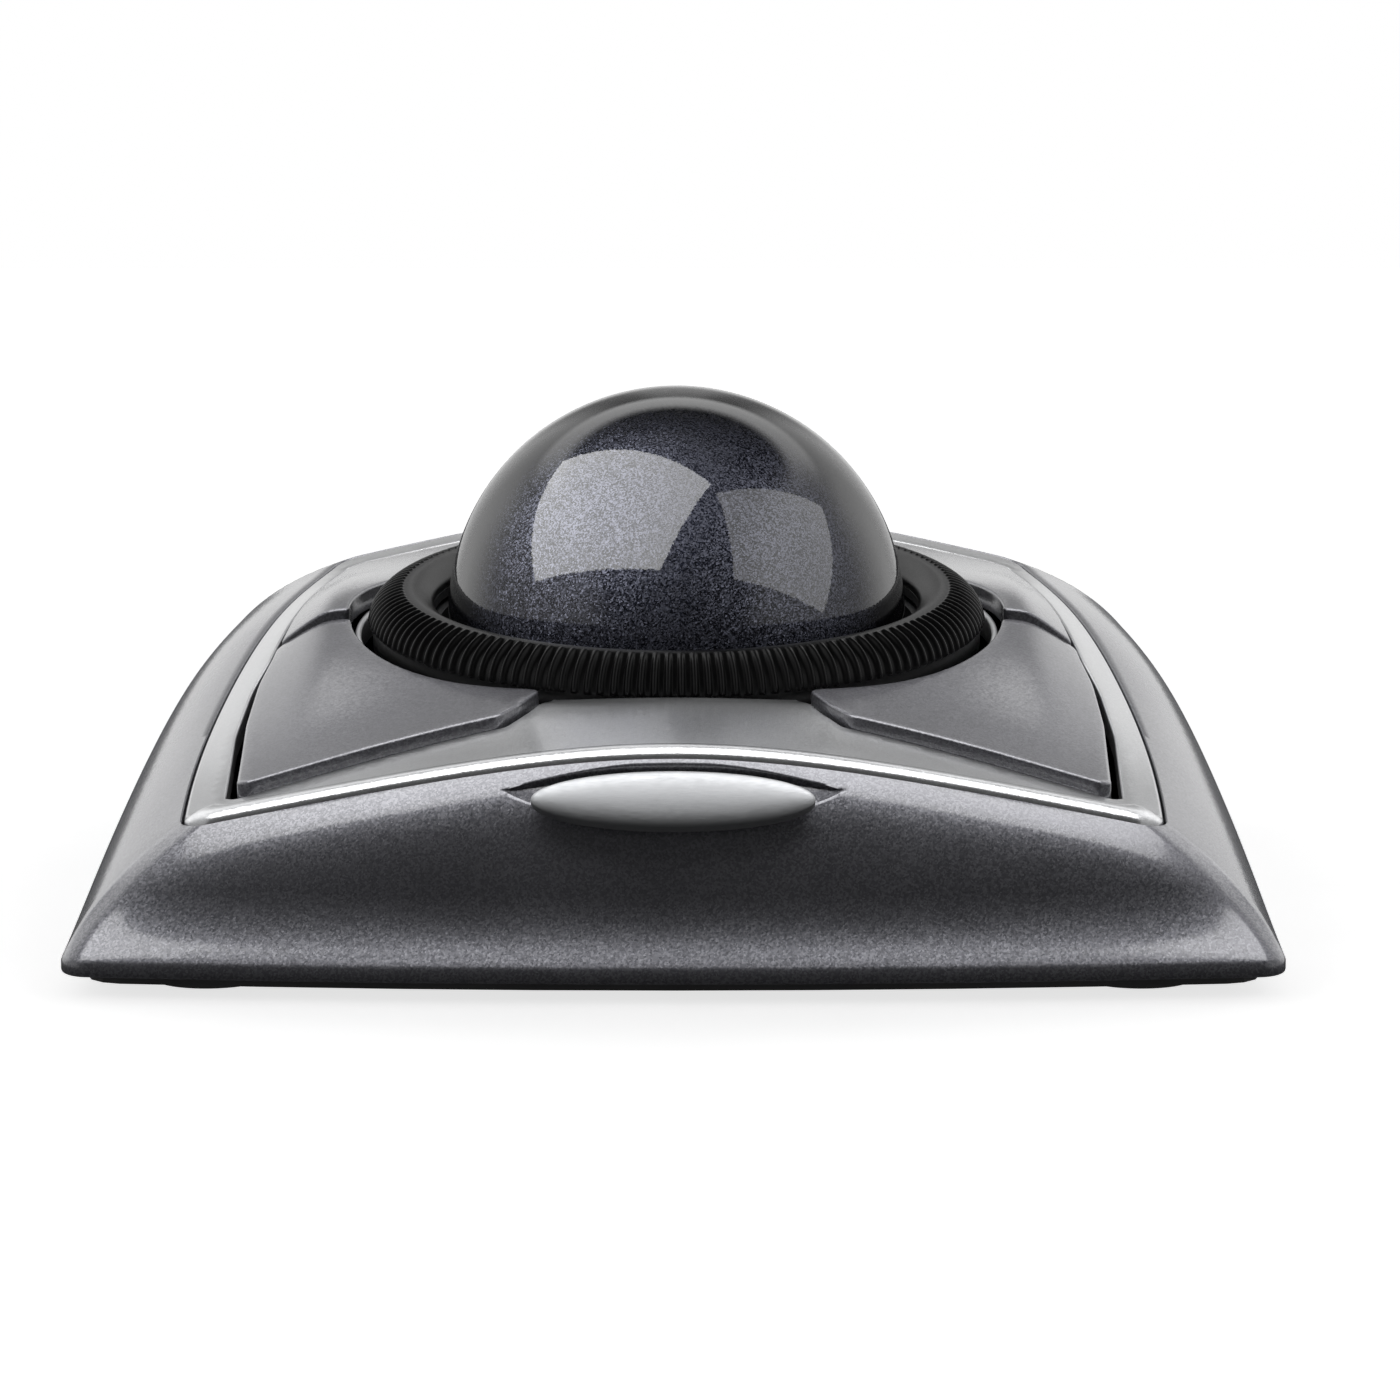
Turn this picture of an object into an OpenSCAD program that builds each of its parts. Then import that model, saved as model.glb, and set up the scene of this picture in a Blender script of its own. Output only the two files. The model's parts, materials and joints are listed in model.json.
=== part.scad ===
// Desktop trackball mouse: a 55 mm ball in a scroll ring, four large buttons,
// a sloping deck and a painted case. The origin is on the desk under the ball's
// centre, +Y points to the rear (where the cable leaves) and +Z points up.

/* [Ball] */
// Radius of the trackball
ball_r = 27.5; // [27.3:0.1:27.6]
// Height of the ball's centre over the desk
ball_z = 33.5; // [33.5:0.1:34.5]

/* [Deck] */
// Slope of the deck, the buttons and the ring, in degrees
deck_tilt = 8.3; // [8:0.1:8.6]
// Height of the deck over the ball's centre, on the centre line
deck_rise = 0.35; // [0.2:0.05:0.6]

/* [Case] */
// Half width of the case at its front corners
case_half_w = 64.9; // [64:0.1:66]
// Distance from the ball's centre to the front corners
case_front = 68.3; // [67:0.1:70]
// Distance from the ball's centre to the rear corners
case_rear = 70; // [68:0.1:73]
// Thickness of the case's wall
wall = 2.2; // [1.8:0.1:2.4]

/* [Buttons] */
// Height of each button's front edge over the deck
button_proud = 1.5; // [1.2:0.1:1.8]
// Thickness of a button plate
button_t = 2.4; // [2:0.1:2.6]

/* [Scroll ring] */
// Outer radius of the ring's rubber grip
ring_r = 37.1; // [36.6:0.1:37.4]
// Radius of the hole the ring turns in
ring_hole_r = 37.9; // [37.7:0.1:38]

/* [Hidden] */
$fn = 64;
eps = 0.01;                 // overlap that joins two shapes of one solid
run_gap = 0.05;             // radial running clearance
seat_gap = 0.1;             // gap between two fixed pieces

// Colours
paint = [0.20, 0.20, 0.22];
silver = [0.78, 0.79, 0.80];
black = [0.08, 0.08, 0.09];
rubber = [0.12, 0.12, 0.12];
steel = [0.70, 0.71, 0.73];
green = [0.10, 0.32, 0.18];
ball_colour = [0.16, 0.17, 0.22];
white = [0.92, 0.92, 0.90];

// Heights over the desk
foot_top = 1.5;             // feet stand in shallow pockets
plate_z = 1;                // underside of the bottom case
plate_top = 3;              // top of the bottom case's plate
skirt_z = 2;                // lower edge of the upper case
edge_z = 3.1;               // top of the case's upright edge
lip_z = 3.5;                // foot of the flank
lip_out = 3.1;              // flare of the front's foot
lip_rise = 3.5;             // height of the flare
skirt_radius = 0.6;         // rounding of the lower edge

// Deck surface: a dome across the deck's ends and a flat top with a knee beside the ring
dome_rise = 6.19;
dome_width = 25;
knee_x = 42.3;
knee_soft = 2;
knee_slope = 0.35;
knee_reach = 52;
rear_fall = 0.00175;
rear_fall_start = 40;
function dome_drop(x) = dome_rise * (sqrt(1 + pow(x / dome_width, 2)) - 1);
function knee_drop(x) = knee_slope * ((abs(x) - knee_x) + sqrt(pow(abs(x) - knee_x, 2) + pow(knee_soft, 2)));
function ring_weight(y) = pow(max(0, 1 - pow(y / knee_reach, 2)), 2);
function deck_z(x, y) = ball_z + deck_rise + tan(deck_tilt) * y
    - (1 - ring_weight(y)) * dome_drop(x) - ring_weight(y) * knee_drop(x)
    - rear_fall * pow(max(0, y - rear_fall_start), 2);

// Outlines in plan: [half width front, half width rear, side bow, front y, rear y, front bow, rear bow]
case_plan = [case_half_w, case_half_w + 1, 1.3, -case_front, case_rear, 4.3, 4];
trim_plan = [52.6, 44.6, 4.2, -60.5, 55, 2.2, 3];
function grow(plan, by) = [plan[0] + by, plan[1] + by, plan[2], plan[3] - by, plan[4] + by, plan[5], plan[6]];

side_steps = 8;             // straight pieces along each side of an outline
corner_steps = 3;           // pieces round each corner
corner_share = 0.06;        // share of a half side taken by a corner
function corner_at(k) = [[-1, -1], [1, -1], [1, 1], [-1, 1]][k % 4];
function side_dir(k) = [[1, 0], [0, 1], [-1, 0], [0, -1]][k];
function unit_side(k) = [for (i = [0 : side_steps - 1])
    let (a = corner_at(k) + side_dir(k) * corner_share, b = corner_at(k + 1) - side_dir(k) * corner_share)
    a + (b - a) * i / side_steps];
function unit_corner(k) = [for (i = [0 : corner_steps - 1])
    let (c = corner_at(k + 1) * (1 - corner_share), a = -90 + 90 * k + 90 * i / corner_steps)
    c + corner_share * [cos(a), sin(a)]];
UNIT = [for (k = [0 : 3]) each concat(unit_side(k), unit_corner(k))];
function on_plan(p, plan) =
    let (t = (p[1] + 1) / 2,
         half = plan[0] + (plan[1] - plan[0]) * t + plan[2] * (1 - p[1] * p[1]),
         bow = 1 - p[0] * p[0],
         front = plan[3] - plan[5] * bow,
         rear = plan[4] + plan[6] * bow)
    [p[0] * half, front + (rear - front) * t];
function outline(plan) = [for (p = UNIT) on_plan(p, plan)];

// Case flank: part of a superellipse from the upright edge to the trim's edge,
// full along the sides, nearly straight down the two front corners and flared
// at the foot of the front
flank_end = 60;             // angle at which the curve meets the trim
full_power = 2.6;
corner_power = 1.2;
function flank_power(p) = full_power + (corner_power - full_power) * pow(p[0], 4) * pow((1 - p[1]) / 2, 2);
flank_steps = 7;
edge_gap = 0.4;             // gap between case and trim
function flank(p, s, inset) =
    let (a = flank_end * s,
         lip = max(0, (-p[1] - 1 + corner_share) / corner_share),
         out = on_plan(p, grow(case_plan, -inset)) + [0, lip_out * lip],
         foot_z = lip_z + lip_rise * lip,
         top = on_plan(p, grow(trim_plan, edge_gap)),
         q = 2 / flank_power(p),
         h = (1 - pow(cos(a), q)) / (1 - pow(cos(flank_end), q)),
         g = pow(sin(a), q) / pow(sin(flank_end), q),
         xy = out + (top - out) * h,
         z = foot_z + (deck_z(top[0], top[1]) - inset - foot_z) * g)
    [xy[0], xy[1], z];
function level_loop(inset, z) = [for (p = outline(grow(case_plan, -inset))) [p[0], p[1], z]];
function flank_loop(s, inset) = [for (p = UNIT) flank(p, s, inset)];

// Closed skin from a list of loops of equal length, joined end to start
module looped_solid(loops) {
    n = len(loops[0]);
    m = len(loops);
    faces = [for (j = [0 : m - 1], i = [0 : n - 1])
        let (a = j * n + i, b = j * n + (i + 1) % n, c = ((j + 1) % m) * n + (i + 1) % n, d = ((j + 1) % m) * n + i)
        each [[a, c, b], [a, d, c]]];
    polyhedron([for (l = loops) each l], faces);
}

// Slab that follows the deck over a rectangle, raised at its front edge; the rise
// fades by the given share for each millimetre beyond the knee
module deck_slab(x0, x1, y0, y1, nx, ny, proud, thick, fade = 0) {
    w = nx + 1;
    h = ny + 1;
    top = [for (j = [0 : ny], i = [0 : nx])
        let (x = x0 + (x1 - x0) * i / nx, y = y0 + (y1 - y0) * j / ny, side = 1 - fade * max(0, x - knee_x))
        [x, y, deck_z(x, y) + proud * side * (y1 - y) / (y1 - y0)]];
    low = [for (p = top) [p[0], p[1], p[2] - thick]];
    count = w * h;
    rim = concat([for (i = [0 : nx]) i], [for (j = [1 : ny]) j * w + nx],
                 [for (i = [1 : nx]) ny * w + nx - i], [for (j = [1 : ny - 1]) (ny - j) * w]);
    up = [for (j = [0 : ny - 1], i = [0 : nx - 1]) let (a = j * w + i)
        each [[a, a + w, a + w + 1], [a, a + w + 1, a + 1]]];
    down = [for (f = up) [f[0] + count, f[2] + count, f[1] + count]];
    side = [for (k = [0 : len(rim) - 1]) let (a = rim[k], b = rim[(k + 1) % len(rim)])
        each [[a, b, b + count], [a, b + count, a + count]]];
    polyhedron(concat(top, low), concat(up, down, side));
}

// Frame of the deck: origin at the ball's centre, +Z square to the deck
module on_deck() {
    translate([0, 0, ball_z]) rotate([deck_tilt, 0, 0]) children();
}

module both_sides() {
    children();
    mirror([1, 0, 0]) children();
}

module over_desk(z) {
    translate([-100, -100, z]) cube([200, 200, 100]);
}

slot_w = 0.5;               // width of a screw's cross slot
slot_share = 1.1;           // its length, as a share of the head's radius
module screw(head_r, head_h, shank_r, length) {
    difference() {
        union() {
            cylinder(r = head_r, h = head_h);
            translate([0, 0, -length]) cylinder(r = shank_r, h = length + eps);
        }
        for (a = [0, 90]) rotate([0, 0, a]) translate([0, 0, head_h / 2])
            cube([head_r * slot_share, slot_w, head_h + eps], center = true);
    }
}

// ---------------------------------------------------------------- case

high = 80;                  // taller than the whole device, for cutters
case_screw_at = [for (x = [-1, 1], at = [[59.4, -48], [60.6, 48]]) [x * at[0], at[1]]];
lug_r = 4.2;
lug_h = 6;
shank_r = 1.2;
shank_hole_r = 1.25;
screw_room_r = 1.5;         // plain hole a screw's shank passes through
head_r = 2.4;
head_h = 1.4;
case_head_z = 2.1;          // case screws are sunk to this height
case_screw_room = 1.6;      // radius of the hole round a case screw's shank
head_room = 0.2;
feet_at = [for (x = [-50, 50], y = [-58, 60]) [x, y]];
foot_r = 6;
centre_foot_r = 9;
foot_pocket = 0.1;          // radial room round each foot
label_size = [44, 24, 0.3];
label_y = -34;
cup_post_turn = [-130, -50, 10, 170];
cup_post_far = 28;          // distance of the cup's posts from the ball's centre line
cup_post_at = [for (a = cup_post_turn) cup_post_far * [cos(a), sin(a)]];
cup_post_top = 12;
post_r = 3;
chassis_post_at = [[22, -46], [44, 34]];
board_post_at = [[38, -26], [38, 1]];
chassis_z = -12.6;          // underside of the chassis, from the ball's centre plane
chassis_t = 1.6;
switch_board_z = -16;
board_t = 1.6;
main_board_z = 5;
main_board_at = [0, 53];
main_board_size = [78, 22];
main_post_at = [for (x = [-35, 35], y = [46, 60]) [x, y]];
cable_z = 8.6;

module plate_outline() {
    polygon(outline(grow(case_plan, -wall - 0.15)));
}

module tilted_post(at, top) {
    intersection() {
        on_deck() translate([at[0], at[1], -60]) cylinder(r = post_r, h = 60 + top);
        over_desk(plate_top - 0.5);
    }
}

module tilted_bore(at, top, depth) {
    on_deck() translate([at[0], at[1], top - depth]) cylinder(r = shank_hole_r, h = depth + 1);
}

module bottom_case() color(black) difference() {
    union() {
        translate([0, 0, plate_z]) linear_extrude(plate_top - plate_z) plate_outline();
        for (p = cup_post_at) translate([p[0], p[1], plate_top - eps])
            cylinder(r = post_r, h = cup_post_top - plate_top + eps);
        for (p = main_post_at) translate([p[0], p[1], plate_top - eps])
            cylinder(r = post_r, h = main_board_z - plate_top + eps);
        both_sides() {
            for (p = chassis_post_at) tilted_post(p, chassis_z);
            for (p = board_post_at) tilted_post(p, switch_board_z);
        }
    }
    for (p = cup_post_at) translate([p[0], p[1], plate_top + 1]) cylinder(r = shank_hole_r, h = 20);
    for (p = main_post_at) translate([p[0], p[1], plate_z + 0.6]) cylinder(r = shank_hole_r, h = 20);
    both_sides() {
        for (p = chassis_post_at) tilted_bore(p, chassis_z, 8);
        for (p = board_post_at) tilted_bore(p, switch_board_z, 7);
    }
    for (p = case_screw_at) translate([p[0], p[1], 0]) {
        cylinder(r = case_screw_room, h = 5);
        cylinder(r = head_r + head_room, h = case_head_z);
    }
    for (p = feet_at) translate([p[0], p[1], 0]) cylinder(r = foot_r + foot_pocket, h = foot_top);
    cylinder(r = centre_foot_r + foot_pocket, h = foot_top);
    translate([-label_size[0] / 2 - seat_gap, label_y - label_size[1] / 2 - seat_gap, 0])
        cube([label_size[0] + 2 * seat_gap, label_size[1] + 2 * seat_gap, plate_z + label_size[2]]);
}

// Badge: a low oval dome in the front face
badge_half = [15, 3.6];     // half width and half height
badge_t = 1.4;
badge_at = [0, -68.3, 20.2];
badge_lean = 48;            // angle of the face at the badge, from level
badge_sink = 0.8;
badge_crown_r = 60;
module at_badge() {
    translate(badge_at) rotate([badge_lean, 0, 0]) children();
}

module oval(grow_by) {
    polygon([for (a = [0 : 5 : 355])
        [(badge_half[0] + grow_by) * cos(a), (badge_half[1] + grow_by) * sin(a)]]);
}

module upper_case() {
    color(paint) difference() {
        union() {
            looped_solid(concat(
                [level_loop(0.5, skirt_z), level_loop(0, skirt_z + skirt_radius), level_loop(0, edge_z)],
                [for (i = [0 : flank_steps]) flank_loop(i / flank_steps, 0)],
                [for (i = [flank_steps : -1 : 0]) flank_loop(i / flank_steps, wall)],
                [level_loop(wall, edge_z), level_loop(wall, skirt_z)]));
            for (p = case_screw_at) translate([p[0], p[1], plate_top + seat_gap])
                cylinder(r = lug_r, h = lug_h);
        }
        for (p = case_screw_at) translate([p[0], p[1], 0]) cylinder(r = shank_hole_r, h = 8);
        translate([0, 50, cable_z]) rotate([-90, 0, 0]) cylinder(r = relief_r + seat_gap, h = 40);
        at_badge() translate([0, 0, -badge_sink - seat_gap]) linear_extrude(10) oval(seat_gap);
    }
}

module badge() color(silver) at_badge() {
    intersection() {
        translate([0, 0, -badge_sink]) linear_extrude(4) oval(0);
        translate([-badge_half[0] - 5, 0, badge_t - badge_sink - badge_crown_r]) rotate([0, 90, 0])
            cylinder(r = badge_crown_r, h = 2 * badge_half[0] + 10, $fn = 360);
    }
}

module rubber_feet() color(rubber) {
    for (p = feet_at) translate([p[0], p[1], 0]) cylinder(r = foot_r, h = foot_top);
    cylinder(r = centre_foot_r, h = foot_top);
}

module underside_label() color(silver)
    translate([-label_size[0] / 2, label_y - label_size[1] / 2, plate_z]) cube(label_size);

module case_screws() color(steel) for (p = case_screw_at)
    translate([p[0], p[1], case_head_z]) mirror([0, 0, 1]) screw(head_r, 1, shank_r, 5.6);

// ---------------------------------------------------------------- trim and buttons

trim_t = 2;
front_hinge = [-3.8, -7.7];    // y and z of the front buttons' pins, in the deck frame
rear_hinge = [46.5, -8.6];
pin_r = 1;
barrel_r = 1.9;
front_barrel_x = [41.2, 45];
rear_barrel_x = [22, 33];
ear_t = 1.3;
web_t = 2.4;
front_web_h = 5.3;
rear_web_h = 4.2;
rib_r = 2;
front_rib_h = 3.6;
rear_rib_h = 5;
front_switch = [34, -42];
rear_switch = [43.5, 14];
switch_top = -7.9;
plunger_top = -6.9;
plunger_r = 1.2;
touch_gap = 0.02;           // room between a button's rib and its plunger at rest

// Line between the front and rear buttons, from the ring outwards
parting = [[36, -2.75], [43, -1.8], [48.4, -1]];
parting_gap = 0.4;          // from the line to either button

// Windows of the trim, and the buttons inside them with their gaps
function front_outline(g, side_g, line_g) = [
    [12, -34], [14.4 + g, -36.2], [16.4 + g, -41], [18.7 + g, -45.4 + g], [34.5, -49.6 + g],
    [47.6 - side_g, -53.4 + g],
    [48.8 - side_g, -52.2 + g], [50 - side_g, -30], [49.6 - side_g * 0.6, -15], [48.5 - side_g * 0.2, -6],
    parting[2] - [side_g * 0.2, line_g], parting[1] - [0, line_g], parting[0] - [0, line_g], [20, -20]];
function rear_outline(g, side_g, line_g) = [
    parting[0] + [0, line_g], parting[1] + [0, line_g], parting[2] + [-side_g * 0.7, line_g],
    [47.5 - side_g * 0.25, 10], [46.6 - side_g * 0.2, 22], [45 - side_g * 0.2, 38], [43.4 - side_g * 0.2, 47.4],
    [41.8 - side_g * 0.2, 49.4 - g / 2], [30, 51 - g / 2], [14.4 + g, 51.6 - g / 2],
    [14.4 + g, 36.2], [12, 34], [20, 20]];
window_gap = 0.7;
side_gap = 1.1;
rear_proud = 1.05;          // height of a rear button's front edge over the deck
rear_fade = 0.12;           // share of it lost for each millimetre beyond the knee
collar_wall = 0.8;          // trim's thin wall round the ring
collar_low = -4.5;
collar_high = -1.3;
button_arc_r = ring_hole_r + collar_wall + 0.4;

module window_prism(points) {
    linear_extrude(high) polygon(points);
}

module ring_clearance(r) {
    on_deck() translate([0, 0, -high / 2]) cylinder(r = r, h = high, $fn = 128);
}

module trim_frame() color(silver) difference() {
    union() {
        difference() {
            intersection() {
                deck_slab(-60, 60, -66, 62, 16, 18, 0, trim_t);
                window_prism(outline(trim_plan));
            }
            both_sides() {
                window_prism(front_outline(0, 0, 0));
                window_prism(rear_outline(0, 0, -0.2));
            }
        }
        on_deck() translate([0, 0, collar_low])
            cylinder(r = ring_hole_r + collar_wall, h = collar_high - collar_low, $fn = 128);
    }
    ring_clearance(ring_hole_r);
}

bore_x = 15;                // start and length of the cutters for the pins' bores
bore_l = 40;
module barrel(x_range, hinge) {
    on_deck() translate([x_range[0], hinge[0], hinge[1]]) rotate([0, 90, 0])
        cylinder(r = barrel_r, h = x_range[1] - x_range[0]);
}

module barrel_bore(hinge) {
    on_deck() translate([bore_x, hinge[0], hinge[1]]) rotate([0, 90, 0])
        cylinder(r = pin_r + run_gap, h = bore_l);
}

// Web that ties a barrel to the plate over it
module barrel_web(x_range, hinge, height) {
    on_deck() translate([x_range[0], hinge[0] - web_t / 2, hinge[1]])
        cube([x_range[1] - x_range[0], web_t, height]);
}

module press_rib(at, height) {
    on_deck() translate([at[0], at[1], plunger_top + touch_gap + rib_r]) {
        sphere(r = rib_r);
        cylinder(r = rib_r, h = height - rib_r);
    }
}

module right_front_button() color(paint) difference() {
    union() {
        difference() {
            intersection() {
                deck_slab(10, 54, -56, -1, 8, 10, button_proud, button_t);
                window_prism(front_outline(window_gap, side_gap, parting_gap));
            }
            ring_clearance(button_arc_r);
        }
        barrel(front_barrel_x, front_hinge);
        barrel_web(front_barrel_x, front_hinge, front_web_h);
        press_rib(front_switch, front_rib_h);
    }
    barrel_bore(front_hinge);
}

module right_rear_button() color(paint) difference() {
    union() {
        difference() {
            intersection() {
                deck_slab(10, 54, -4, 54, 8, 10, rear_proud, button_t, rear_fade);
                window_prism(rear_outline(window_gap, side_gap, parting_gap));
            }
            ring_clearance(button_arc_r);
        }
        barrel(rear_barrel_x, rear_hinge);
        barrel_web(rear_barrel_x, rear_hinge, rear_web_h);
        press_rib(rear_switch, rear_rib_h);
    }
    barrel_bore(rear_hinge);
}

module front_right_button() right_front_button();
module front_left_button() mirror([1, 0, 0]) right_front_button();
module rear_right_button() right_rear_button();
module rear_left_button() mirror([1, 0, 0]) right_rear_button();

module hinge_ears(x_range, hinge) {
    for (x = [x_range[0] - ear_t - seat_gap, x_range[1] + seat_gap])
        translate([x, hinge[0] - barrel_r, chassis_z + chassis_t - eps])
            cube([ear_t, 2 * barrel_r, hinge[1] + barrel_r - chassis_z - chassis_t]);
}

module pin_hole(hinge) {
    translate([bore_x, hinge[0], hinge[1]]) rotate([0, 90, 0]) cylinder(r = pin_r + eps, h = bore_l);
}

trim_pillar_at = [[7, -49], [7, 47]];
trim_pillar_h = 8.7;
trim_pillar_r = 2.5;
chassis_half = 49;
chassis_y = [-53, 51];
switch_room = [6.8, 14];    // opening of the chassis round a switch
module button_chassis() color(black) on_deck() difference() {
    union() {
        translate([-chassis_half, chassis_y[0], chassis_z])
            cube([2 * chassis_half, chassis_y[1] - chassis_y[0], chassis_t]);
        both_sides() {
            hinge_ears(front_barrel_x, front_hinge);
            hinge_ears(rear_barrel_x, rear_hinge);
            for (p = trim_pillar_at) translate([p[0], p[1], chassis_z + chassis_t - eps])
                cylinder(r = trim_pillar_r, h = trim_pillar_h);
        }
    }
    translate([0, 0, -20]) cylinder(r = button_arc_r, h = 20, $fn = 128);
    both_sides() {
        pin_hole(front_hinge);
        pin_hole(rear_hinge);
        for (p = [front_switch, rear_switch])
            translate([p[0] - switch_room[0] / 2, p[1] - switch_room[1] / 2, -20])
                cube([switch_room[0], switch_room[1], 20]);
        for (p = chassis_post_at) translate([p[0], p[1], -20]) cylinder(r = screw_room_r, h = 20);
    }
}

module chassis_screws() color(steel) on_deck() both_sides() for (p = chassis_post_at)
    translate([p[0], p[1], chassis_z + chassis_t]) screw(head_r, head_h, shank_r, 8);

module button_pins() color(steel) on_deck() both_sides() {
    for (h = [[front_barrel_x, front_hinge], [rear_barrel_x, rear_hinge]])
        translate([h[0][0] - ear_t - seat_gap, h[1][0], h[1][1]]) rotate([0, 90, 0])
            cylinder(r = pin_r, h = h[0][1] - h[0][0] + 2 * (ear_t + seat_gap));
}

// ---------------------------------------------------------------- switches

switch_size = [5.8, 12.8];  // width and length of a switch body
plunger_h = 3.2;
plunger_bore = 3.6;         // depth of its bore in the switch
switch_board_at = [31, -50];
switch_board_size = [16, 72];
module switch_board() color(green) on_deck() difference() {
    translate([switch_board_at[0], switch_board_at[1], switch_board_z])
        cube([switch_board_size[0], switch_board_size[1], board_t]);
    for (p = board_post_at) translate([p[0], p[1], switch_board_z - 1]) cylinder(r = screw_room_r, h = 4);
}

module right_switch_board() switch_board();
module left_switch_board() mirror([1, 0, 0]) switch_board();

module switch_body(at) {
    on_deck() difference() {
        translate([at[0] - switch_size[0] / 2, at[1] - switch_size[1] / 2, switch_board_z + board_t])
            cube([switch_size[0], switch_size[1], switch_top - switch_board_z - board_t]);
        translate([at[0], at[1], switch_top - plunger_bore]) cylinder(r = plunger_r + run_gap, h = 5);
    }
}

module switch_bodies() color(black) both_sides() for (p = [front_switch, rear_switch]) switch_body(p);

module plunger(at) {
    color(white) on_deck() translate([at[0], at[1], plunger_top - plunger_h])
        cylinder(r = plunger_r, h = plunger_h);
}

module front_right_plunger() plunger(front_switch);
module front_left_plunger() mirror([1, 0, 0]) plunger(front_switch);
module rear_right_plunger() plunger(rear_switch);
module rear_left_plunger() mirror([1, 0, 0]) plunger(rear_switch);

// ---------------------------------------------------------------- ball, cup and ring

cup_in_r = ball_r + 1.1;
cup_out_r = cup_in_r + 1.6;
cup_collar_h = 10.4;
support_boss_r = 2.6;
sensor_post_r = 1.9;
sensor_hole_r = 0.85;
sensor_opening_r = 4.5;
ear_start = 24;             // inner ends of the ear and the lugs, inside the cup's wall
cup_lug_start = 20;
collar_r = 31.5;
cup_top = -0.6;
flange_r = 33.4;
flange_z = -6;
flange_t = 0.9;
support_r = 1.2;
support_gap = 0.03;         // between the trackball and a support ball
support_angle = 28;         // below the ball's widest line
support_turn = [-90, 30, 150];
sensor_angle = 55;          // from straight down towards the rear
lens_z = -30.6;
sensor_board_face = -36.4;
sensor_post_at = [[7.5, 6], [-7.5, 6], [7.5, -6], [-7.5, -6]];
ear_turn = 45;
dust_hole_r = 8;
cup_lug_r = 3.5;
cup_lug_t = 3;
ear_end = 37.6;             // outer end of the ear that carries the ring's sensor board
ear_half = 10;
ear_top = -12;
ear_plate_t = 2;
ear_board_t = 1.2;
ear_screw_at = [35, 7];

module trackball() color(ball_colour) translate([0, 0, ball_z]) sphere(r = ball_r, $fn = 96);

module at_support(turn) {
    on_deck() rotate([0, 90 + support_angle, turn]) children();
}

module at_sensor() {
    translate([0, 0, ball_z]) rotate([sensor_angle, 0, 0]) children();
}

module ball_cup() color(black) difference() {
    union() {
        translate([0, 0, ball_z]) sphere(r = cup_out_r, $fn = 96);
        on_deck() {
            translate([0, 0, cup_top - cup_collar_h]) cylinder(r = collar_r, h = cup_collar_h, $fn = 128);
            translate([0, 0, flange_z]) cylinder(r = flange_r, h = flange_t, $fn = 128);
            rotate([0, 0, ear_turn]) translate([ear_start, -ear_half, ear_top - ear_plate_t])
                cube([ear_end - ear_start, 2 * ear_half, ear_plate_t]);
        }
        for (a = cup_post_turn) rotate([0, 0, a]) {
            translate([cup_lug_start, -cup_lug_r, cup_post_top])
                cube([cup_post_far - cup_lug_start, 2 * cup_lug_r, cup_lug_t]);
            translate([cup_post_far, 0, cup_post_top]) cylinder(r = cup_lug_r, h = cup_lug_t);
        }
        for (t = support_turn) at_support(t) translate([0, 0, cup_in_r])
            cylinder(r = support_boss_r, h = support_boss_r);
        at_sensor() for (p = sensor_post_at) translate([p[0], p[1], sensor_board_face])
            cylinder(r = sensor_post_r, h = 9);
    }
    translate([0, 0, ball_z]) sphere(r = cup_in_r, $fn = 96);
    on_deck() translate([0, 0, cup_top]) cylinder(r = 60, h = 60);
    cylinder(r = dust_hole_r, h = 12);
    for (p = cup_post_at) translate([p[0], p[1], 0]) cylinder(r = screw_room_r, h = 20);
    for (t = support_turn) at_support(t) translate([0, 0, cup_in_r - 1])
        cylinder(r = support_r + run_gap, h = 2.4);
    at_sensor() {
        translate([0, 0, lens_z - 1]) cylinder(r = sensor_opening_r, h = 10);
        for (p = sensor_post_at) translate([p[0], p[1], sensor_board_face - 1])
            cylinder(r = sensor_hole_r, h = 6);
    }
    on_deck() rotate([0, 0, ear_turn]) translate([ear_screw_at[0], ear_screw_at[1], ear_top - 4])
        cylinder(r = shank_hole_r, h = 6);
}

module support_balls() color(white) for (t = support_turn) at_support(t)
    translate([0, 0, ball_r + support_gap + support_r]) sphere(r = support_r);

module cup_screws() color(steel) for (p = cup_post_at)
    translate([p[0], p[1], cup_post_top + cup_lug_t]) screw(head_r, head_h, shank_r, 9);

crest_r = 32;               // radius of the ring's highest line
grip_foot = -3;
grip_shoulder = -0.5;
grip_rise = 4.6;
function shoulder(dr, dz, from, to) = [for (i = [0 : 6]) let (a = from + (to - from) * i / 6)
    [crest_r + (ring_r - crest_r - dr) * cos(a), grip_shoulder + (grip_rise - dz) * sin(a)]];
grip_t = 1.5;
carrier_in_r = 33.3;
ring_fit = 0.02;            // gap between the grip and its carrier
lip_r = 29.25;
lip_top = 2.5;
lip_low = 1.2;

module ring_grip() color(rubber) on_deck() rotate_extrude($fn = 128) polygon(concat(
    [[ring_r - grip_t, grip_foot], [ring_r, grip_foot]], shoulder(0, 0, 0, 90),
    [[lip_r, lip_top], [lip_r, lip_low]], shoulder(grip_t, 1.2, 90, 0)));

module ring_carrier() color(black) on_deck() rotate_extrude($fn = 128) polygon(concat(
    [[carrier_in_r, grip_foot], [ring_r - grip_t - ring_fit, grip_foot]],
    shoulder(grip_t + ring_fit, 1.2 + ring_fit, 0, 90),
    [[lip_r + 0.05, lip_low - 0.04], [lip_r + 0.05, 0.1], [30.9, 0.1], [collar_r + run_gap, -0.4],
     [collar_r + run_gap, flange_z + flange_t + run_gap], [carrier_in_r, flange_z + flange_t + run_gap]]));

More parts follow.
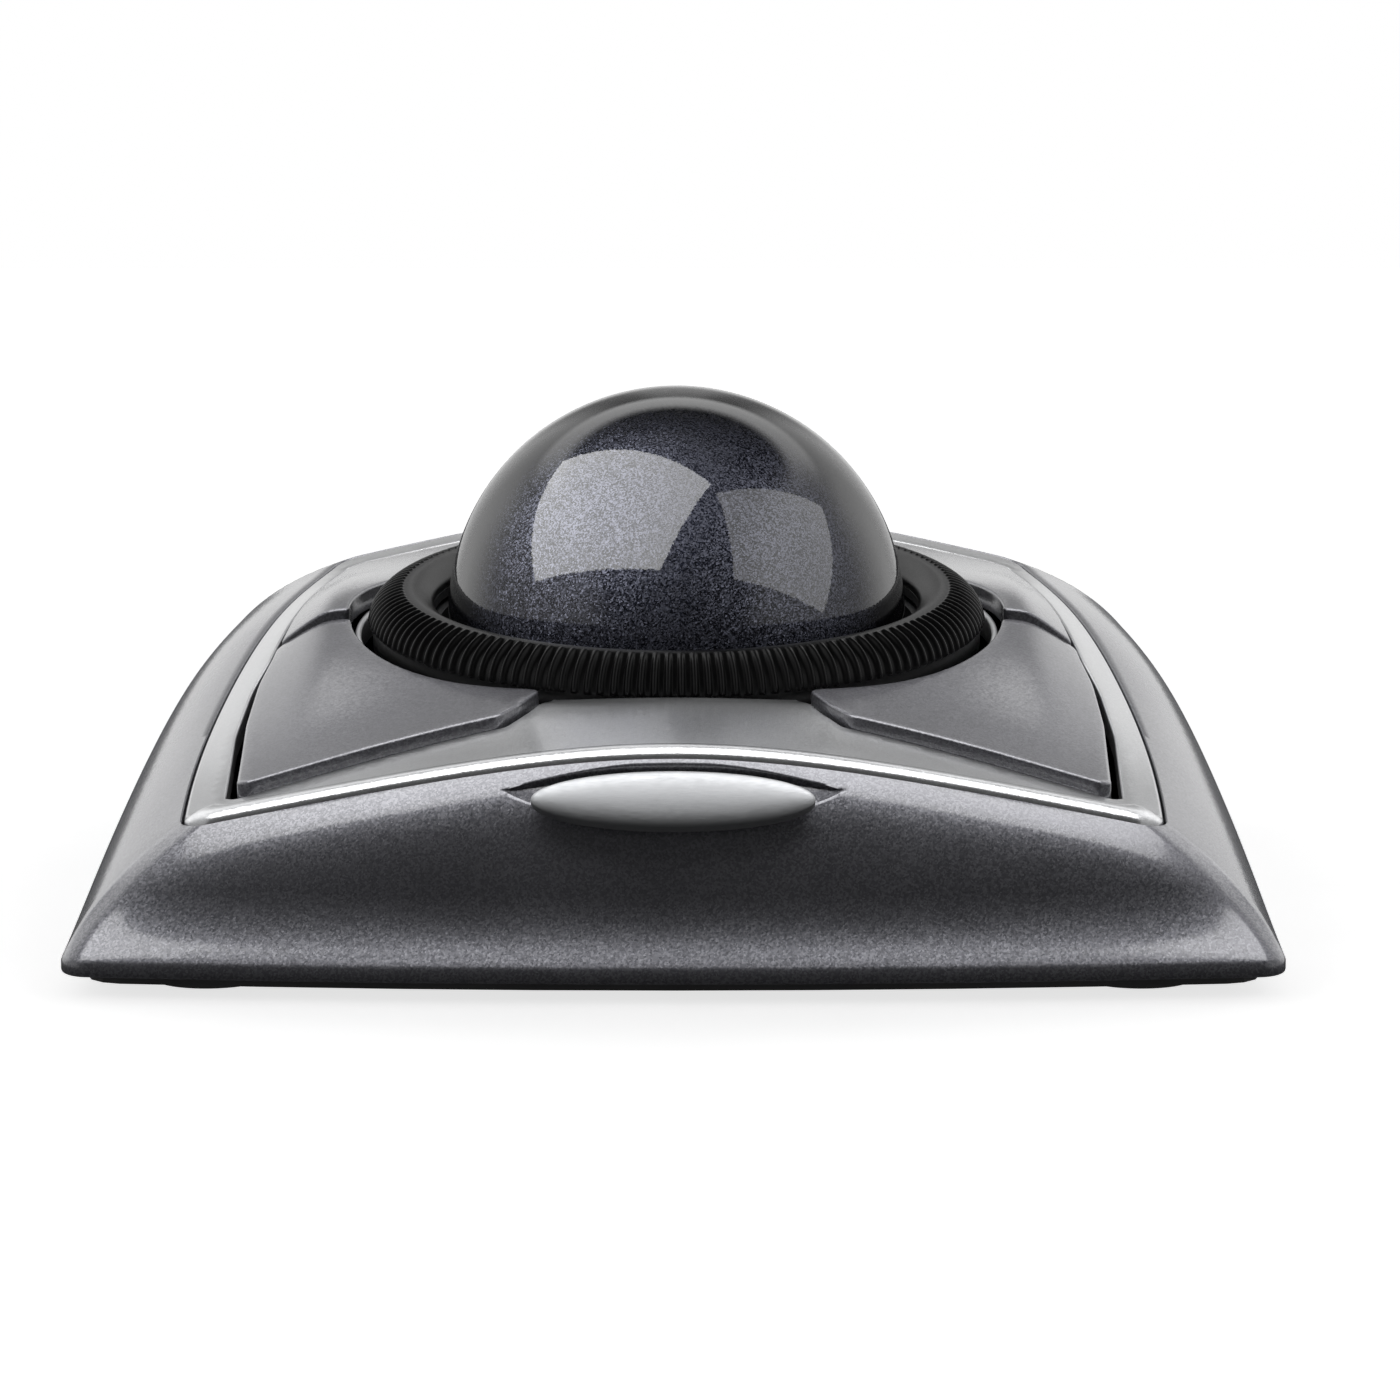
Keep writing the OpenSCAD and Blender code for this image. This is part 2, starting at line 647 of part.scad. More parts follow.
encoder_slots = 40;
encoder_low = -8.5;
encoder_r = [34.2, 35];     // inner and outer radius of the slotted wall
encoder_rim = 0.4;          // how far the flange under the ring stands out on its outside
encoder_t = 0.8;
encoder_slot = [1.6, 2.4, 2.2];
module encoder_ring() color(steel) on_deck() difference() {
    rotate_extrude($fn = 128) polygon([
        [encoder_r[0] - encoder_t, grip_foot - encoder_t], [encoder_r[0], grip_foot - encoder_t],
        [encoder_r[0], encoder_low], [encoder_r[1], encoder_low], [encoder_r[1], grip_foot - encoder_t],
        [encoder_r[1] + encoder_rim, grip_foot - encoder_t], [encoder_r[1] + encoder_rim, grip_foot],
        [encoder_r[0] - encoder_t, grip_foot]]);
    for (i = [0 : encoder_slots - 1]) rotate([0, 0, i * 360 / encoder_slots])
        translate([encoder_r[0] - 0.4, -encoder_slot[1] / 2, encoder_low + 0.6]) cube(encoder_slot);
}

module ring_sensor_board() color(green) on_deck() rotate([0, 0, ear_turn]) difference() {
    translate([collar_r + 0.2, -ear_half, ear_top]) cube([ear_end - collar_r - 0.2, 2 * ear_half, ear_board_t]);
    translate([ear_screw_at[0], ear_screw_at[1], ear_top - 1]) cylinder(r = screw_room_r, h = 4);
}

ring_sensor_x = 32;
ring_sensor_size = [ear_end - ring_sensor_x, 9, 4.3];
ring_sensor_floor = 1.6;    // under the slot that the encoder's wall runs in
module ring_sensor() color(black) on_deck() rotate([0, 0, ear_turn])
    translate([ring_sensor_x, -ring_sensor_size[1] / 2, ear_top + ear_board_t]) difference() {
        cube(ring_sensor_size);
        translate([1.6, -0.5, ring_sensor_floor]) cube([2, ring_sensor_size[1] + 1, ring_sensor_size[2]]);
    }

// ---------------------------------------------------------------- sensor

lens_colour = [0.85, 0.9, 0.95, 0.5];
light_colour = [0.9, 0.2, 0.2, 0.7];
lens_plate = [10, 10, 1.6];
lens_r = 3;
sensor_size = [9, 10, 3.4];
light_r = 1.5;
light_h = 2.6;
light_y = 7.6;
sensor_board_size = [20, 18.5];
sensor_board_y = -8.5;
sensor_screw_room = 1.1;

module sensor_lens() color(lens_colour) at_sensor() {
    translate([-lens_plate[0] / 2, -lens_plate[1] / 2, lens_z - 2.2]) cube(lens_plate);
    translate([0, 0, lens_z - 0.7]) cylinder(r = lens_r, h = 0.9);
}

module optical_sensor() color(black) at_sensor()
    translate([-sensor_size[0] / 2, -sensor_size[1] / 2, sensor_board_face + 0.05]) cube(sensor_size);

module sensor_light() color(light_colour) at_sensor() translate([0, light_y, sensor_board_face]) {
    cylinder(r = light_r, h = light_h);
    translate([0, 0, light_h]) sphere(r = light_r);
}

module sensor_board() color(green) at_sensor() difference() {
    translate([-sensor_board_size[0] / 2, sensor_board_y, sensor_board_face - board_t])
        cube([sensor_board_size[0], sensor_board_size[1], board_t]);
    for (p = sensor_post_at) translate([p[0], p[1], sensor_board_face - 3])
        cylinder(r = sensor_screw_room, h = 4);
}

// ---------------------------------------------------------------- main board

main_board_top = main_board_z + board_t;
module main_board() color(green) difference() {
    translate([-main_board_size[0] / 2, main_board_at[1] - main_board_size[1] / 2, main_board_z])
        cube([main_board_size[0], main_board_size[1], board_t]);
    for (p = main_post_at) translate([p[0], p[1], 0]) cylinder(r = screw_room_r, h = 20);
}

chip_at = [12, 46];
chip_size = [10, 10, 1.6];
chip_pins = 8;
pin_pitch = 1.2;
connector_at = [[0, 60], [-22, 47], [-32, 52], [28, 52]];
connector_size = [8, 4.5, 4.6];
connector_wall = 0.8;
crystal_at = [-14, 50];
crystal_size = [9, 4, 3.2];
capacitor_at = [[-6, 47], [26, 47], [30, 47]];
capacitor_r = 1.8;
capacitor_h = 4;
small_parts = 6;
small_at = [-18, 54.8];
small_size = [1.2, 2, 0.7];
small_pitch = 3;

module controller_chip() color(black) translate([chip_at[0], chip_at[1], main_board_top]) {
    translate([0, 0, 0.2]) cube(chip_size);
    for (i = [0 : chip_pins - 1]) translate([0.8 + i * pin_pitch, -1, 0]) cube([0.4, chip_size[1] + 2, 0.3]);
}

module board_connectors() color(white) for (p = connector_at)
    translate([p[0] - 4, p[1] - 2.5, main_board_top]) difference() {
        cube(connector_size);
        translate([connector_wall, connector_wall, 1])
            cube([for (side = connector_size) side - 2 * connector_wall] + [0, 0, 2 * connector_wall]);
    }

module board_components() color(silver) {
    translate([crystal_at[0], crystal_at[1], main_board_top]) cube(crystal_size);
    for (p = capacitor_at) translate([p[0], p[1], main_board_top]) cylinder(r = capacitor_r, h = capacitor_h);
    for (i = [0 : small_parts - 1]) translate([small_at[0] + i * small_pitch, small_at[1], main_board_top])
        cube(small_size);
}

module board_screws() color(steel) {
    for (p = main_post_at) translate([p[0], p[1], main_board_top]) screw(head_r, head_h, shank_r, 4.6);
    on_deck() both_sides() for (p = board_post_at)
        translate([p[0], p[1], switch_board_z + board_t]) screw(head_r, head_h, shank_r, 7);
    at_sensor() for (p = sensor_post_at) translate([p[0], p[1], sensor_board_face - board_t])
        mirror([0, 0, 1]) screw(1.6, 1, 0.8, 5);
    on_deck() rotate([0, 0, ear_turn]) translate([ear_screw_at[0], ear_screw_at[1], ear_top + ear_board_t])
        screw(head_r - 0.4, head_h, shank_r, 3);
}

// ---------------------------------------------------------------- cable and plug

cable_r = 1.8;
relief_r = 3.4;
relief_y = 65;              // inner face of the relief's flange
taper_y = 76;               // where the relief starts to taper
relief_tip_r = 2.5;
relief_end = 83;
groove_w = 0.9;
groove_pitch = 2.1;
bend_r = 7;
drop_angle = acos(1 - (cable_z - cable_r) / (2 * bend_r));
desk_y = relief_end + 2 * bend_r * sin(drop_angle);
far_x = -47;
cable_start = 62;           // rear face of the cable's connector

// Bend in the XY plane from the origin, leaving along +Y and turning left
module left_bend(angle) {
    translate([-bend_r, 0, 0]) rotate_extrude(angle = angle) translate([bend_r, 0]) circle(r = cable_r);
}

// Bend in the YZ plane from the origin, leaving along +Y and turning down
module down_bend(angle) {
    rotate([0, 90, 0]) mirror([1, 0, 0]) left_bend(angle);
}

module run(length) {
    rotate([-90, 0, 0]) cylinder(r = cable_r, h = length);
}

module usb_cable() color(rubber) {
    translate([0, cable_start, cable_z]) run(relief_end - cable_start);
    translate([0, relief_end, cable_z]) down_bend(drop_angle);
    translate([0, desk_y, cable_r]) mirror([0, 1, 0]) mirror([0, 0, 1]) down_bend(drop_angle);
    translate([0, desk_y, cable_r]) left_bend(90);
    translate([-bend_r, desk_y + bend_r, cable_r]) rotate([0, 0, 90]) run(-bend_r - far_x);
    translate([far_x, desk_y + bend_r, cable_r]) rotate([0, 0, 90]) left_bend(180);
    translate([far_x, desk_y - bend_r, cable_r]) rotate([0, 0, -90]) run(4);
}

module strain_relief() color(rubber) difference() {
    union() {
        translate([0, relief_y, cable_z]) rotate([-90, 0, 0]) cylinder(r = relief_r + 1, h = 2);
        translate([0, relief_y + 1, cable_z]) rotate([-90, 0, 0])
            cylinder(r = relief_r, h = taper_y - relief_y - 1);
        translate([0, taper_y, cable_z]) rotate([-90, 0, 0])
            cylinder(r1 = relief_r, r2 = relief_tip_r, h = relief_end - taper_y);
    }
    for (i = [0 : 2])
        translate([0, taper_y + 0.6 + i * groove_pitch, cable_z]) rotate([-90, 0, 0]) difference() {
        cylinder(r = relief_r + 2, h = groove_w);
        translate([0, 0, -1]) cylinder(r = relief_tip_r - 0.1, h = 3);
    }
    translate([0, 60, cable_z]) rotate([-90, 0, 0]) cylinder(r = cable_r + run_gap, h = 30);
}

plug_y = desk_y - bend_r;
grip_size = [24, 9, 7.5];
shell_size = [12.5, 12, 4.5];
plug_x = far_x + 4;
plug_z = grip_size[2] / 2;
shell_wall = 0.3;
latch = 2;                  // side of the shell's latch windows
tongue_t = 1.9;
tongue_gap = 0.35;
module usb_plug_grip() color(rubber) difference() {
    translate([plug_x - 2, plug_y - grip_size[1] / 2, 0]) {
        translate([0, grip_size[1] / 2, cable_r]) rotate([0, 90, 0]) cylinder(r = cable_r, h = 2.1);
        translate([2, 0, 0.3]) cube([grip_size[0], grip_size[1], grip_size[2] - 0.3]);
    }
    translate([plug_x - 3, plug_y, cable_r]) rotate([0, 90, 0]) cylinder(r = cable_r + 0.01, h = 3);
}

module in_shell()
    translate([plug_x + grip_size[0], plug_y - shell_size[1] / 2, plug_z - shell_size[2] / 2]) children();

module usb_plug_shell() color(steel) in_shell() difference() {
    cube(shell_size);
    translate([-1, shell_wall, shell_wall])
        cube([shell_size[0] + 2, shell_size[1] - 2 * shell_wall, shell_size[2] - 2 * shell_wall]);
    for (y = [3, 7]) translate([5, y, -1]) cube([latch, latch, 2 * shell_size[2]]);
}

module usb_plug_tongue() color(white) in_shell() translate([0, tongue_gap, tongue_gap])
    cube([shell_size[0] - 0.5, shell_size[1] - 2 * tongue_gap, tongue_t]);

bottom_case();
upper_case();
trim_frame();
badge();
rubber_feet();
underside_label();
case_screws();
ball_cup();
support_balls();
cup_screws();
trackball();
ring_carrier();
encoder_ring();
ring_grip();
ring_sensor();
ring_sensor_board();
button_chassis();
chassis_screws();
button_pins();
front_left_button();
front_right_button();
rear_left_button();
rear_right_button();
left_switch_board();
right_switch_board();
switch_bodies();
front_left_plunger();
front_right_plunger();
rear_left_plunger();
rear_right_plunger();
sensor_board();
optical_sensor();
sensor_lens();
sensor_light();
main_board();
controller_chip();
board_connectors();
board_components();
board_screws();
strain_relief();
usb_cable();
usb_plug_grip();
usb_plug_shell();
usb_plug_tongue();
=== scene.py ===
"""Looks of a desktop trackball mouse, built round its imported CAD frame.

Shapes are worked out in millimetres as numpy arrays, and mesh_piece() turns them into metres.
The deck, the outlines and the flank follow the same rules as the CAD, at a finer pitch.
"""
import json
import math

import bmesh
import bpy
import numpy as np
from mathutils import Euler, Matrix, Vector
from mathutils.geometry import delaunay_2d_cdt

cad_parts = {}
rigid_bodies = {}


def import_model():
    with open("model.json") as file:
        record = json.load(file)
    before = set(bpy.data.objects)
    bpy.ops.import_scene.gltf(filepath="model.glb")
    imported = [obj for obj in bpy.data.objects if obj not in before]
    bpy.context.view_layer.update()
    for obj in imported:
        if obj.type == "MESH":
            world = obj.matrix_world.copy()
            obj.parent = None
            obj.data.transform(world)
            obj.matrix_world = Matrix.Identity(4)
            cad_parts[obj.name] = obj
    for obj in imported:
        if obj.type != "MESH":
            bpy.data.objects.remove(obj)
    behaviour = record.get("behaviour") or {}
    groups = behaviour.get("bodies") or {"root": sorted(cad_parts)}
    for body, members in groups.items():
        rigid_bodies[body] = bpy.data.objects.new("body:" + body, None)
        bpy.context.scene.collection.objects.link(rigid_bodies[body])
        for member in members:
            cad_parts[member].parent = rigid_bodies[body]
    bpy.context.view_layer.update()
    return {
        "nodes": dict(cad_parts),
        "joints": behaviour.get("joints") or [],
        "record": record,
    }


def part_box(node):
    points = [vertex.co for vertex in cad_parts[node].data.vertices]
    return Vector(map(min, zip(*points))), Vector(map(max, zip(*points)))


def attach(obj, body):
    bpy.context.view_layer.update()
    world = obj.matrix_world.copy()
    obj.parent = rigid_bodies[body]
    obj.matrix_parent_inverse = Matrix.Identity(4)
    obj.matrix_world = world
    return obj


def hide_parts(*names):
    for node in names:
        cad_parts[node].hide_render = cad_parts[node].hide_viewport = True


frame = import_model()

MM = 0.001


def mm_box(node):
    """Lowest and highest corner of a CAD node, in millimetres."""
    low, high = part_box(node)
    return np.array(low) / MM, np.array(high) / MM


def joint(name):
    """A CAD joint by its name."""
    return next(j for j in frame["joints"] if j["name"] == name)


# ---------------- driving sizes, from the frame

ball_low, ball_high = mm_box("trackball")
BALL_R = (ball_high[0] - ball_low[0]) / 2
BALL_Z = (ball_high[2] + ball_low[2]) / 2
ring_axis = joint("ring_scroll")["axis"]
TILT = math.atan2(-ring_axis[1], ring_axis[2])
RING_R = mm_box("ring_grip")[1][0]
case_low, case_high = mm_box("upper_case")

# Deck: a dome across its ends, and a flat top with a knee beside the ring
DECK_RISE = 0.35
DOME_RISE, DOME_WIDTH = 6.19, 25
KNEE_X, KNEE_SOFT, KNEE_SLOPE, KNEE_REACH = 42.3, 2, 0.35, 52
REAR_FALL, REAR_FALL_START = 0.00175, 40


def deck_z(x, y):
    """Height of the deck over a plan point."""
    x = np.abs(x)
    dome = DOME_RISE * (np.sqrt(1 + (x / DOME_WIDTH) ** 2) - 1)
    knee = KNEE_SLOPE * ((x - KNEE_X) + np.sqrt((x - KNEE_X) ** 2 + KNEE_SOFT**2))
    near_ring = np.clip(1 - (y / KNEE_REACH) ** 2, 0, 1) ** 2
    fall = REAR_FALL * np.clip(y - REAR_FALL_START, 0, None) ** 2
    return BALL_Z + DECK_RISE + math.tan(TILT) * y - (1 - near_ring) * dome - near_ring * knee - fall


def from_deck(points):
    """Points given from the ball's centre, with z square to the deck, in the part's frame."""
    p = np.asarray(points, float)
    c, s = math.cos(TILT), math.sin(TILT)
    return np.stack([p[:, 0], p[:, 1] * c - p[:, 2] * s, BALL_Z + p[:, 1] * s + p[:, 2] * c], 1)


# ---------------- mesh helpers

EDGE_CLEAR = 0.55           # least distance of an inner point from the outline, as a share of the pitch
SHORT_GAP = 0.08            # points nearer than this share of the pitch are dropped
CORNER_REACH = 0.48         # most of a side that a corner's arc may take up
RIM_ROWS = 6

def mesh_piece(name, verts_mm, faces, body, slot, replaces, flat_over=None):
    """One object from millimetre vertices, riding on a CAD body. Edges over flat_over degrees stay sharp."""
    mesh = bpy.data.meshes.new(name)
    mesh.from_pydata((np.asarray(verts_mm) * MM).tolist(), [], [list(map(int, f)) for f in faces])
    mesh.validate()
    mesh.shade_smooth()
    if flat_over is not None:
        mesh.set_sharp_from_angle(angle=math.radians(flat_over))
    mesh.materials.append(MATERIALS[slot])
    piece = bpy.data.objects.new(name, mesh)
    bpy.context.scene.collection.objects.link(piece)
    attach(piece, body)
    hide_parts(*replaces)


def loop_faces(rows, count, closed_rows=False):
    """Quads between consecutive loops of count points, each loop closed on itself."""
    faces = []
    for j in range(rows if closed_rows else rows - 1):
        a, b = j * count, ((j + 1) % rows) * count
        for i in range(count):
            k = (i + 1) % count
            faces.append((a + i, a + k, b + k, b + i))
    return faces


def inside(points, loop):
    """Which 2D points lie inside a closed loop."""
    x, y = points[:, 0][:, None], points[:, 1][:, None]
    x0, y0 = loop[:, 0][None], loop[:, 1][None]
    x1, y1 = np.roll(loop[:, 0], -1)[None], np.roll(loop[:, 1], -1)[None]
    crosses = (y0 > y) != (y1 > y)
    at = x0 + (y - y0) * (x1 - x0) / np.where(y1 == y0, 1e-9, y1 - y0)
    return (crosses & (x < at)).sum(1) % 2 == 1


def fill(loops, pitch):
    """Even triangles inside the first loop and outside the others: (points, faces), loop points first."""
    edge_points = np.concatenate(loops)
    low, high = edge_points.min(0), edge_points.max(0)
    rows = np.arange(low[1], high[1], pitch * math.sqrt(3) / 2)
    grid = np.array([(x + (pitch / 2 if j % 2 else 0), y)
                     for j, y in enumerate(rows) for x in np.arange(low[0], high[0], pitch)])
    keep = inside(grid, loops[0])
    for hole in loops[1:]:
        keep &= ~inside(grid, hole)
    grid = grid[keep]
    near = np.array([np.min(np.sum((edge_points - g) ** 2, 1)) for g in grid])
    grid = grid[near > (EDGE_CLEAR * pitch) ** 2]
    points = np.concatenate([edge_points, grid])
    edges, start = [], 0
    for loop in loops:
        n = len(loop)
        edges += [(start + i, start + (i + 1) % n) for i in range(n)]
        start += n
    made, _, tris, origin, _, _ = delaunay_2d_cdt([tuple(p) for p in points], edges, [], 0, 1e-6)
    crossings = [tuple(round(c, 2) for c in v) for v, source in zip(made, origin) if not source]
    if crossings:
        raise ValueError(f"outlines cross at {crossings[:8]}")
    tris = np.array([[origin[v][0] for v in t] for t in tris])
    centre = points[tris].mean(1)
    keep = inside(centre, loops[0])
    for hole in loops[1:]:
        keep &= ~inside(centre, hole)
    tris = tris[keep]
    a, b, c = points[tris[:, 0]], points[tris[:, 1]], points[tris[:, 2]]
    area = (b[:, 0] - a[:, 0]) * (c[:, 1] - a[:, 1]) - (b[:, 1] - a[:, 1]) * (c[:, 0] - a[:, 0])
    tris[area < 0] = tris[area < 0][:, ::-1]
    return points, tris


def left_normals(loop):
    """Unit normals of a closed 2D loop, pointing to its left."""
    ahead = np.roll(loop, -1, 0) - np.roll(loop, 1, 0)
    ahead /= np.linalg.norm(ahead, axis=1)[:, None]
    return np.stack([-ahead[:, 1], ahead[:, 0]], 1)


def rounded(corners, pitch):
    """Closed loop through (x, y, corner radius) points, with round corners and points about pitch apart."""
    loop = []
    n = len(corners)
    for i in range(n):
        p = np.array(corners[i][:2], float)
        a = np.array(corners[i - 1][:2], float) - p
        b = np.array(corners[(i + 1) % n][:2], float) - p
        la, lb = np.linalg.norm(a), np.linalg.norm(b)
        a, b = a / la, b / lb
        half = math.acos(np.clip(a @ b, -1, 1)) / 2
        straight = half > math.pi / 2 - 1e-4
        cut = 0 if straight else min(corners[i][2] / math.tan(half), la * CORNER_REACH, lb * CORNER_REACH)
        r = cut * math.tan(half)
        if cut < 1e-6:
            loop.append(p)
            continue
        centre = p + (a + b) / np.linalg.norm(a + b) * math.hypot(cut, r)
        start, end = p + a * cut - centre, p + b * cut - centre
        turn = math.atan2(start[0] * end[1] - start[1] * end[0], start @ end)
        steps = max(2, int(abs(turn) * r / (pitch * 0.5)))
        for t in np.linspace(0, turn, steps + 1):
            c, s = math.cos(t), math.sin(t)
            loop.append(centre + np.array([start[0] * c - start[1] * s, start[0] * s + start[1] * c]))
    return even(np.array(loop), pitch)


def even(loop, pitch):
    """The loop with its long pieces split so that points are at most about pitch apart."""
    out = []
    for p, q in zip(loop, np.roll(loop, -1, 0)):
        steps = max(1, int(np.linalg.norm(q - p) / pitch))
        out += [p + (q - p) * k / steps for k in range(steps)]
    out = np.array(out)
    gap = np.linalg.norm(np.roll(out, -1, 0) - out, axis=1)
    return out[gap > pitch * SHORT_GAP]


def plate(loop, top, thick, edge_r, pitch):
    """A plate with a rounded rim inside an anticlockwise outline. top(x, y) is its height."""
    inward = left_normals(loop)
    count = len(loop)
    rim = []
    for a in np.linspace(0, math.pi / 2, RIM_ROWS):
        moved = loop + inward * edge_r * (1 - math.cos(a))
        rim.append(np.column_stack([moved, top(moved[:, 0], moved[:, 1]) - edge_r * (1 - math.sin(a))]))
    flat, tris = fill([moved], pitch)
    crown = np.column_stack([flat, top(flat[:, 0], flat[:, 1])])
    under = crown - np.array([0, 0, thick])
    under[:count] = np.column_stack([loop, top(loop[:, 0], loop[:, 1]) - thick])
    verts = [under] + rim[:-1] + [crown]
    starts = np.cumsum([0, len(under)] + [count] * (len(rim) - 1))
    faces = [t[::-1] for t in tris] + [t + starts[-1] for t in tris]
    for lower, upper in zip(starts, starts[1:]):
        faces += [(lower + i, lower + (i + 1) % count, upper + (i + 1) % count, upper + i)
                  for i in range(count)]
    return np.concatenate(verts), faces


def round_angles(count):
    """Even angles round a full turn, in radians."""
    return np.arange(count) * 2 * math.pi / count


def circle(radius, z, angles):
    """Points of a level circle about the z axis. The radius and the height may vary round it."""
    return np.stack([radius * np.cos(angles), radius * np.sin(angles), z * np.ones(len(angles))], 1)


def revolve(profile, count):
    """A closed (radius, height) profile turned round the z axis: (points, faces)."""
    rows = [circle(r, z, round_angles(count)) for r, z in profile]
    return np.concatenate(rows), loop_faces(len(rows), count, closed_rows=True)


# ---------------- outlines in plan

# A plan holds: half width front, half width rear, side bow, front y, rear y, front bow, rear bow
CASE_CORNER, TRIM_CORNER = 0.04, 0.06       # corners, as shares of a half side
FRONT_BOW, REAR_BOW, SIDE_BOW = 4.3, 4.0, 1.3
CASE_HALF = case_high[0] - SIDE_BOW - 0.45
CASE_FRONT, CASE_REAR = case_low[1] + FRONT_BOW, case_high[1] - REAR_BOW
CASE_PLAN = (CASE_HALF, CASE_HALF + 1, SIDE_BOW, CASE_FRONT, CASE_REAR, FRONT_BOW, REAR_BOW)
TRIM_PLAN = (52.6, 44.6, 4.2, -60.5, 55, 2.2, 3)


def grow(plan, by):
    """A plan moved outwards all round."""
    return (plan[0] + by, plan[1] + by, plan[2], plan[3] - by, plan[4] + by, plan[5], plan[6])


def unit_outline(front, side, rear, corner, share):
    """Points (u, v) round a square of half width 1, anticlockwise from its front left, with round corners."""
    corners = np.array([(-1, -1), (1, -1), (1, 1), (-1, 1)], float)
    ways = np.array([(1, 0), (0, 1), (-1, 0), (0, -1)], float)
    points = []
    for k, steps in enumerate((front, side, rear, side)):
        a = corners[k] + ways[k] * share
        b = corners[(k + 1) % 4] - ways[k] * share
        points += [a + (b - a) * i / steps for i in range(steps)]
        centre = corners[(k + 1) % 4] * (1 - share)
        for i in range(corner):
            t = math.radians(-90 + 90 * k + 90 * i / corner)
            points.append(centre + share * np.array([math.cos(t), math.sin(t)]))
    return np.array(points)


def on_plan(unit, plan):
    """Plan points of the unit square's points."""
    u, v = unit[:, 0], unit[:, 1]
    t = (v + 1) / 2
    half = plan[0] + (plan[1] - plan[0]) * t + plan[2] * (1 - v * v)
    front = plan[3] - plan[5] * (1 - u * u)
    rear = plan[4] + plan[6] * (1 - u * u)
    return np.stack([u * half, front + (rear - front) * t], 1)


# ---------------- materials


class Nodes:
    """A node tree with short calls for adding nodes and linking them."""

    def __init__(self, tree):
        self.tree = tree
        tree.nodes.clear()

    def add(self, kind, **inputs):
        node = self.tree.nodes.new(kind)
        for key, value in inputs.items():
            self.set(node, key, value)
        return node

    def set(self, node, key, value):
        numbered = key[0] == "i" and key[1:].isdigit()
        socket = node.inputs[int(key[1:]) if numbered else key.replace("_", " ")]
        if isinstance(value, bpy.types.NodeSocket):
            self.tree.links.new(value, socket)
        else:
            socket.default_value = value

    def math(self, operation, a, b=0.0, c=0.0):
        node = self.add("ShaderNodeMath", i0=a, i1=b, i2=c)
        node.operation = operation
        return node.outputs[0]

    def vector(self, operation, a, b=(0, 0, 0)):
        node = self.add("ShaderNodeVectorMath", i0=a, i1=b)
        node.operation = operation
        return node.outputs[0]

    def step(self, value, low, high, to_low=0.0, to_high=1.0):
        node = self.add("ShaderNodeMapRange", i0=value, i1=low, i2=high, i3=to_low, i4=to_high)
        node.interpolation_type = "SMOOTHSTEP"
        return node.outputs[0]

    def mix(self, factor, a, b):
        node = self.add("ShaderNodeMix")
        node.data_type = "RGBA"
        for index, value in ((0, factor), (6, a), (7, b)):
            if isinstance(value, bpy.types.NodeSocket):
                self.tree.links.new(value, node.inputs[index])
            else:
                node.inputs[index].default_value = value
        return node.outputs[2]


def material(name):
    """A new material and its emptied node tree."""
    made = bpy.data.materials.new(name)
    made.use_nodes = True
    return made, Nodes(made.node_tree)


def finish_material(n, **inputs):
    """Closes a material's tree with one surface shader."""
    shader = n.add("ShaderNodeBsdfPrincipled", **inputs)
    out = n.add("ShaderNodeOutputMaterial")
    n.tree.links.new(shader.outputs[0], out.inputs[0])


def rgb(r, g, b):
    return (r, g, b, 1)


def shaded(colour, share):
    """A colour made darker or lighter, with no channel over 1."""
    return rgb(*(min(1, c * share) for c in colour[:3]))


def object_point(n):
    """The shaded point in its piece's own frame."""
    return n.add("ShaderNodeTexCoord").outputs["Object"]


def noise(n, point, scale, detail=2.0):
    """Smooth noise with scale cells per metre."""
    return n.add("ShaderNodeTexNoise", Vector=point, Scale=scale, Detail=detail).outputs["Fac"]


def flakes(n, point, size, tilt):
    """Random cells of a given size in metres: (colour of each cell, normal tipped by it)."""
    cells = n.add("ShaderNodeTexVoronoi", Vector=point, Scale=1 / size)
    centred = n.vector("SUBTRACT", cells.outputs["Color"], (0.5, 0.5, 0.5))
    scaled = n.add("ShaderNodeVectorMath", i0=centred)
    scaled.operation = "SCALE"
    scaled.inputs["Scale"].default_value = tilt
    normal = n.add("ShaderNodeNewGeometry").outputs["Normal"]
    tipped = n.vector("NORMALIZE", n.vector("ADD", normal, scaled.outputs[0]))
    value = n.add("ShaderNodeSeparateColor", Color=cells.outputs["Color"]).outputs[0]
    return value, tipped


def flake_paint(name, dark, light, metallic, roughness, size, tilt,
                coat_tilt=0.02, coat_roughness=0.04, limb=1.0):
    """Metallic paint: fine flakes that tip the light, under a clear coat that follows them a little.

    The flakes' own reflection falls to the share limb where the surface is seen at a low angle.
    """
    made, n = material(name)
    point = object_point(n)
    value, tipped = flakes(n, point, size, tilt)
    skin = flakes(n, point, size * 1.5, coat_tilt)[1]
    broad = noise(n, point, 60)
    worn = n.step(broad, 0.3, 0.7, roughness * 0.92, roughness * 1.08)
    colour = n.mix(n.step(value, 0.15, 0.95), dark, light)
    facing = n.add("ShaderNodeLayerWeight", Blend=0.5).outputs["Facing"]
    colour = n.mix(n.step(facing, 0.3, 0.65, 0, 1 - limb), colour, shaded(dark, limb))
    finish_material(n, Base_Color=colour, Metallic=metallic, Roughness=worn, Normal=tipped,
                    Specular_Tint=rgb(limb, limb, limb), Coat_Weight=1.0, Coat_Roughness=coat_roughness,
                    Coat_IOR=1.5, Coat_Normal=skin)
    return made


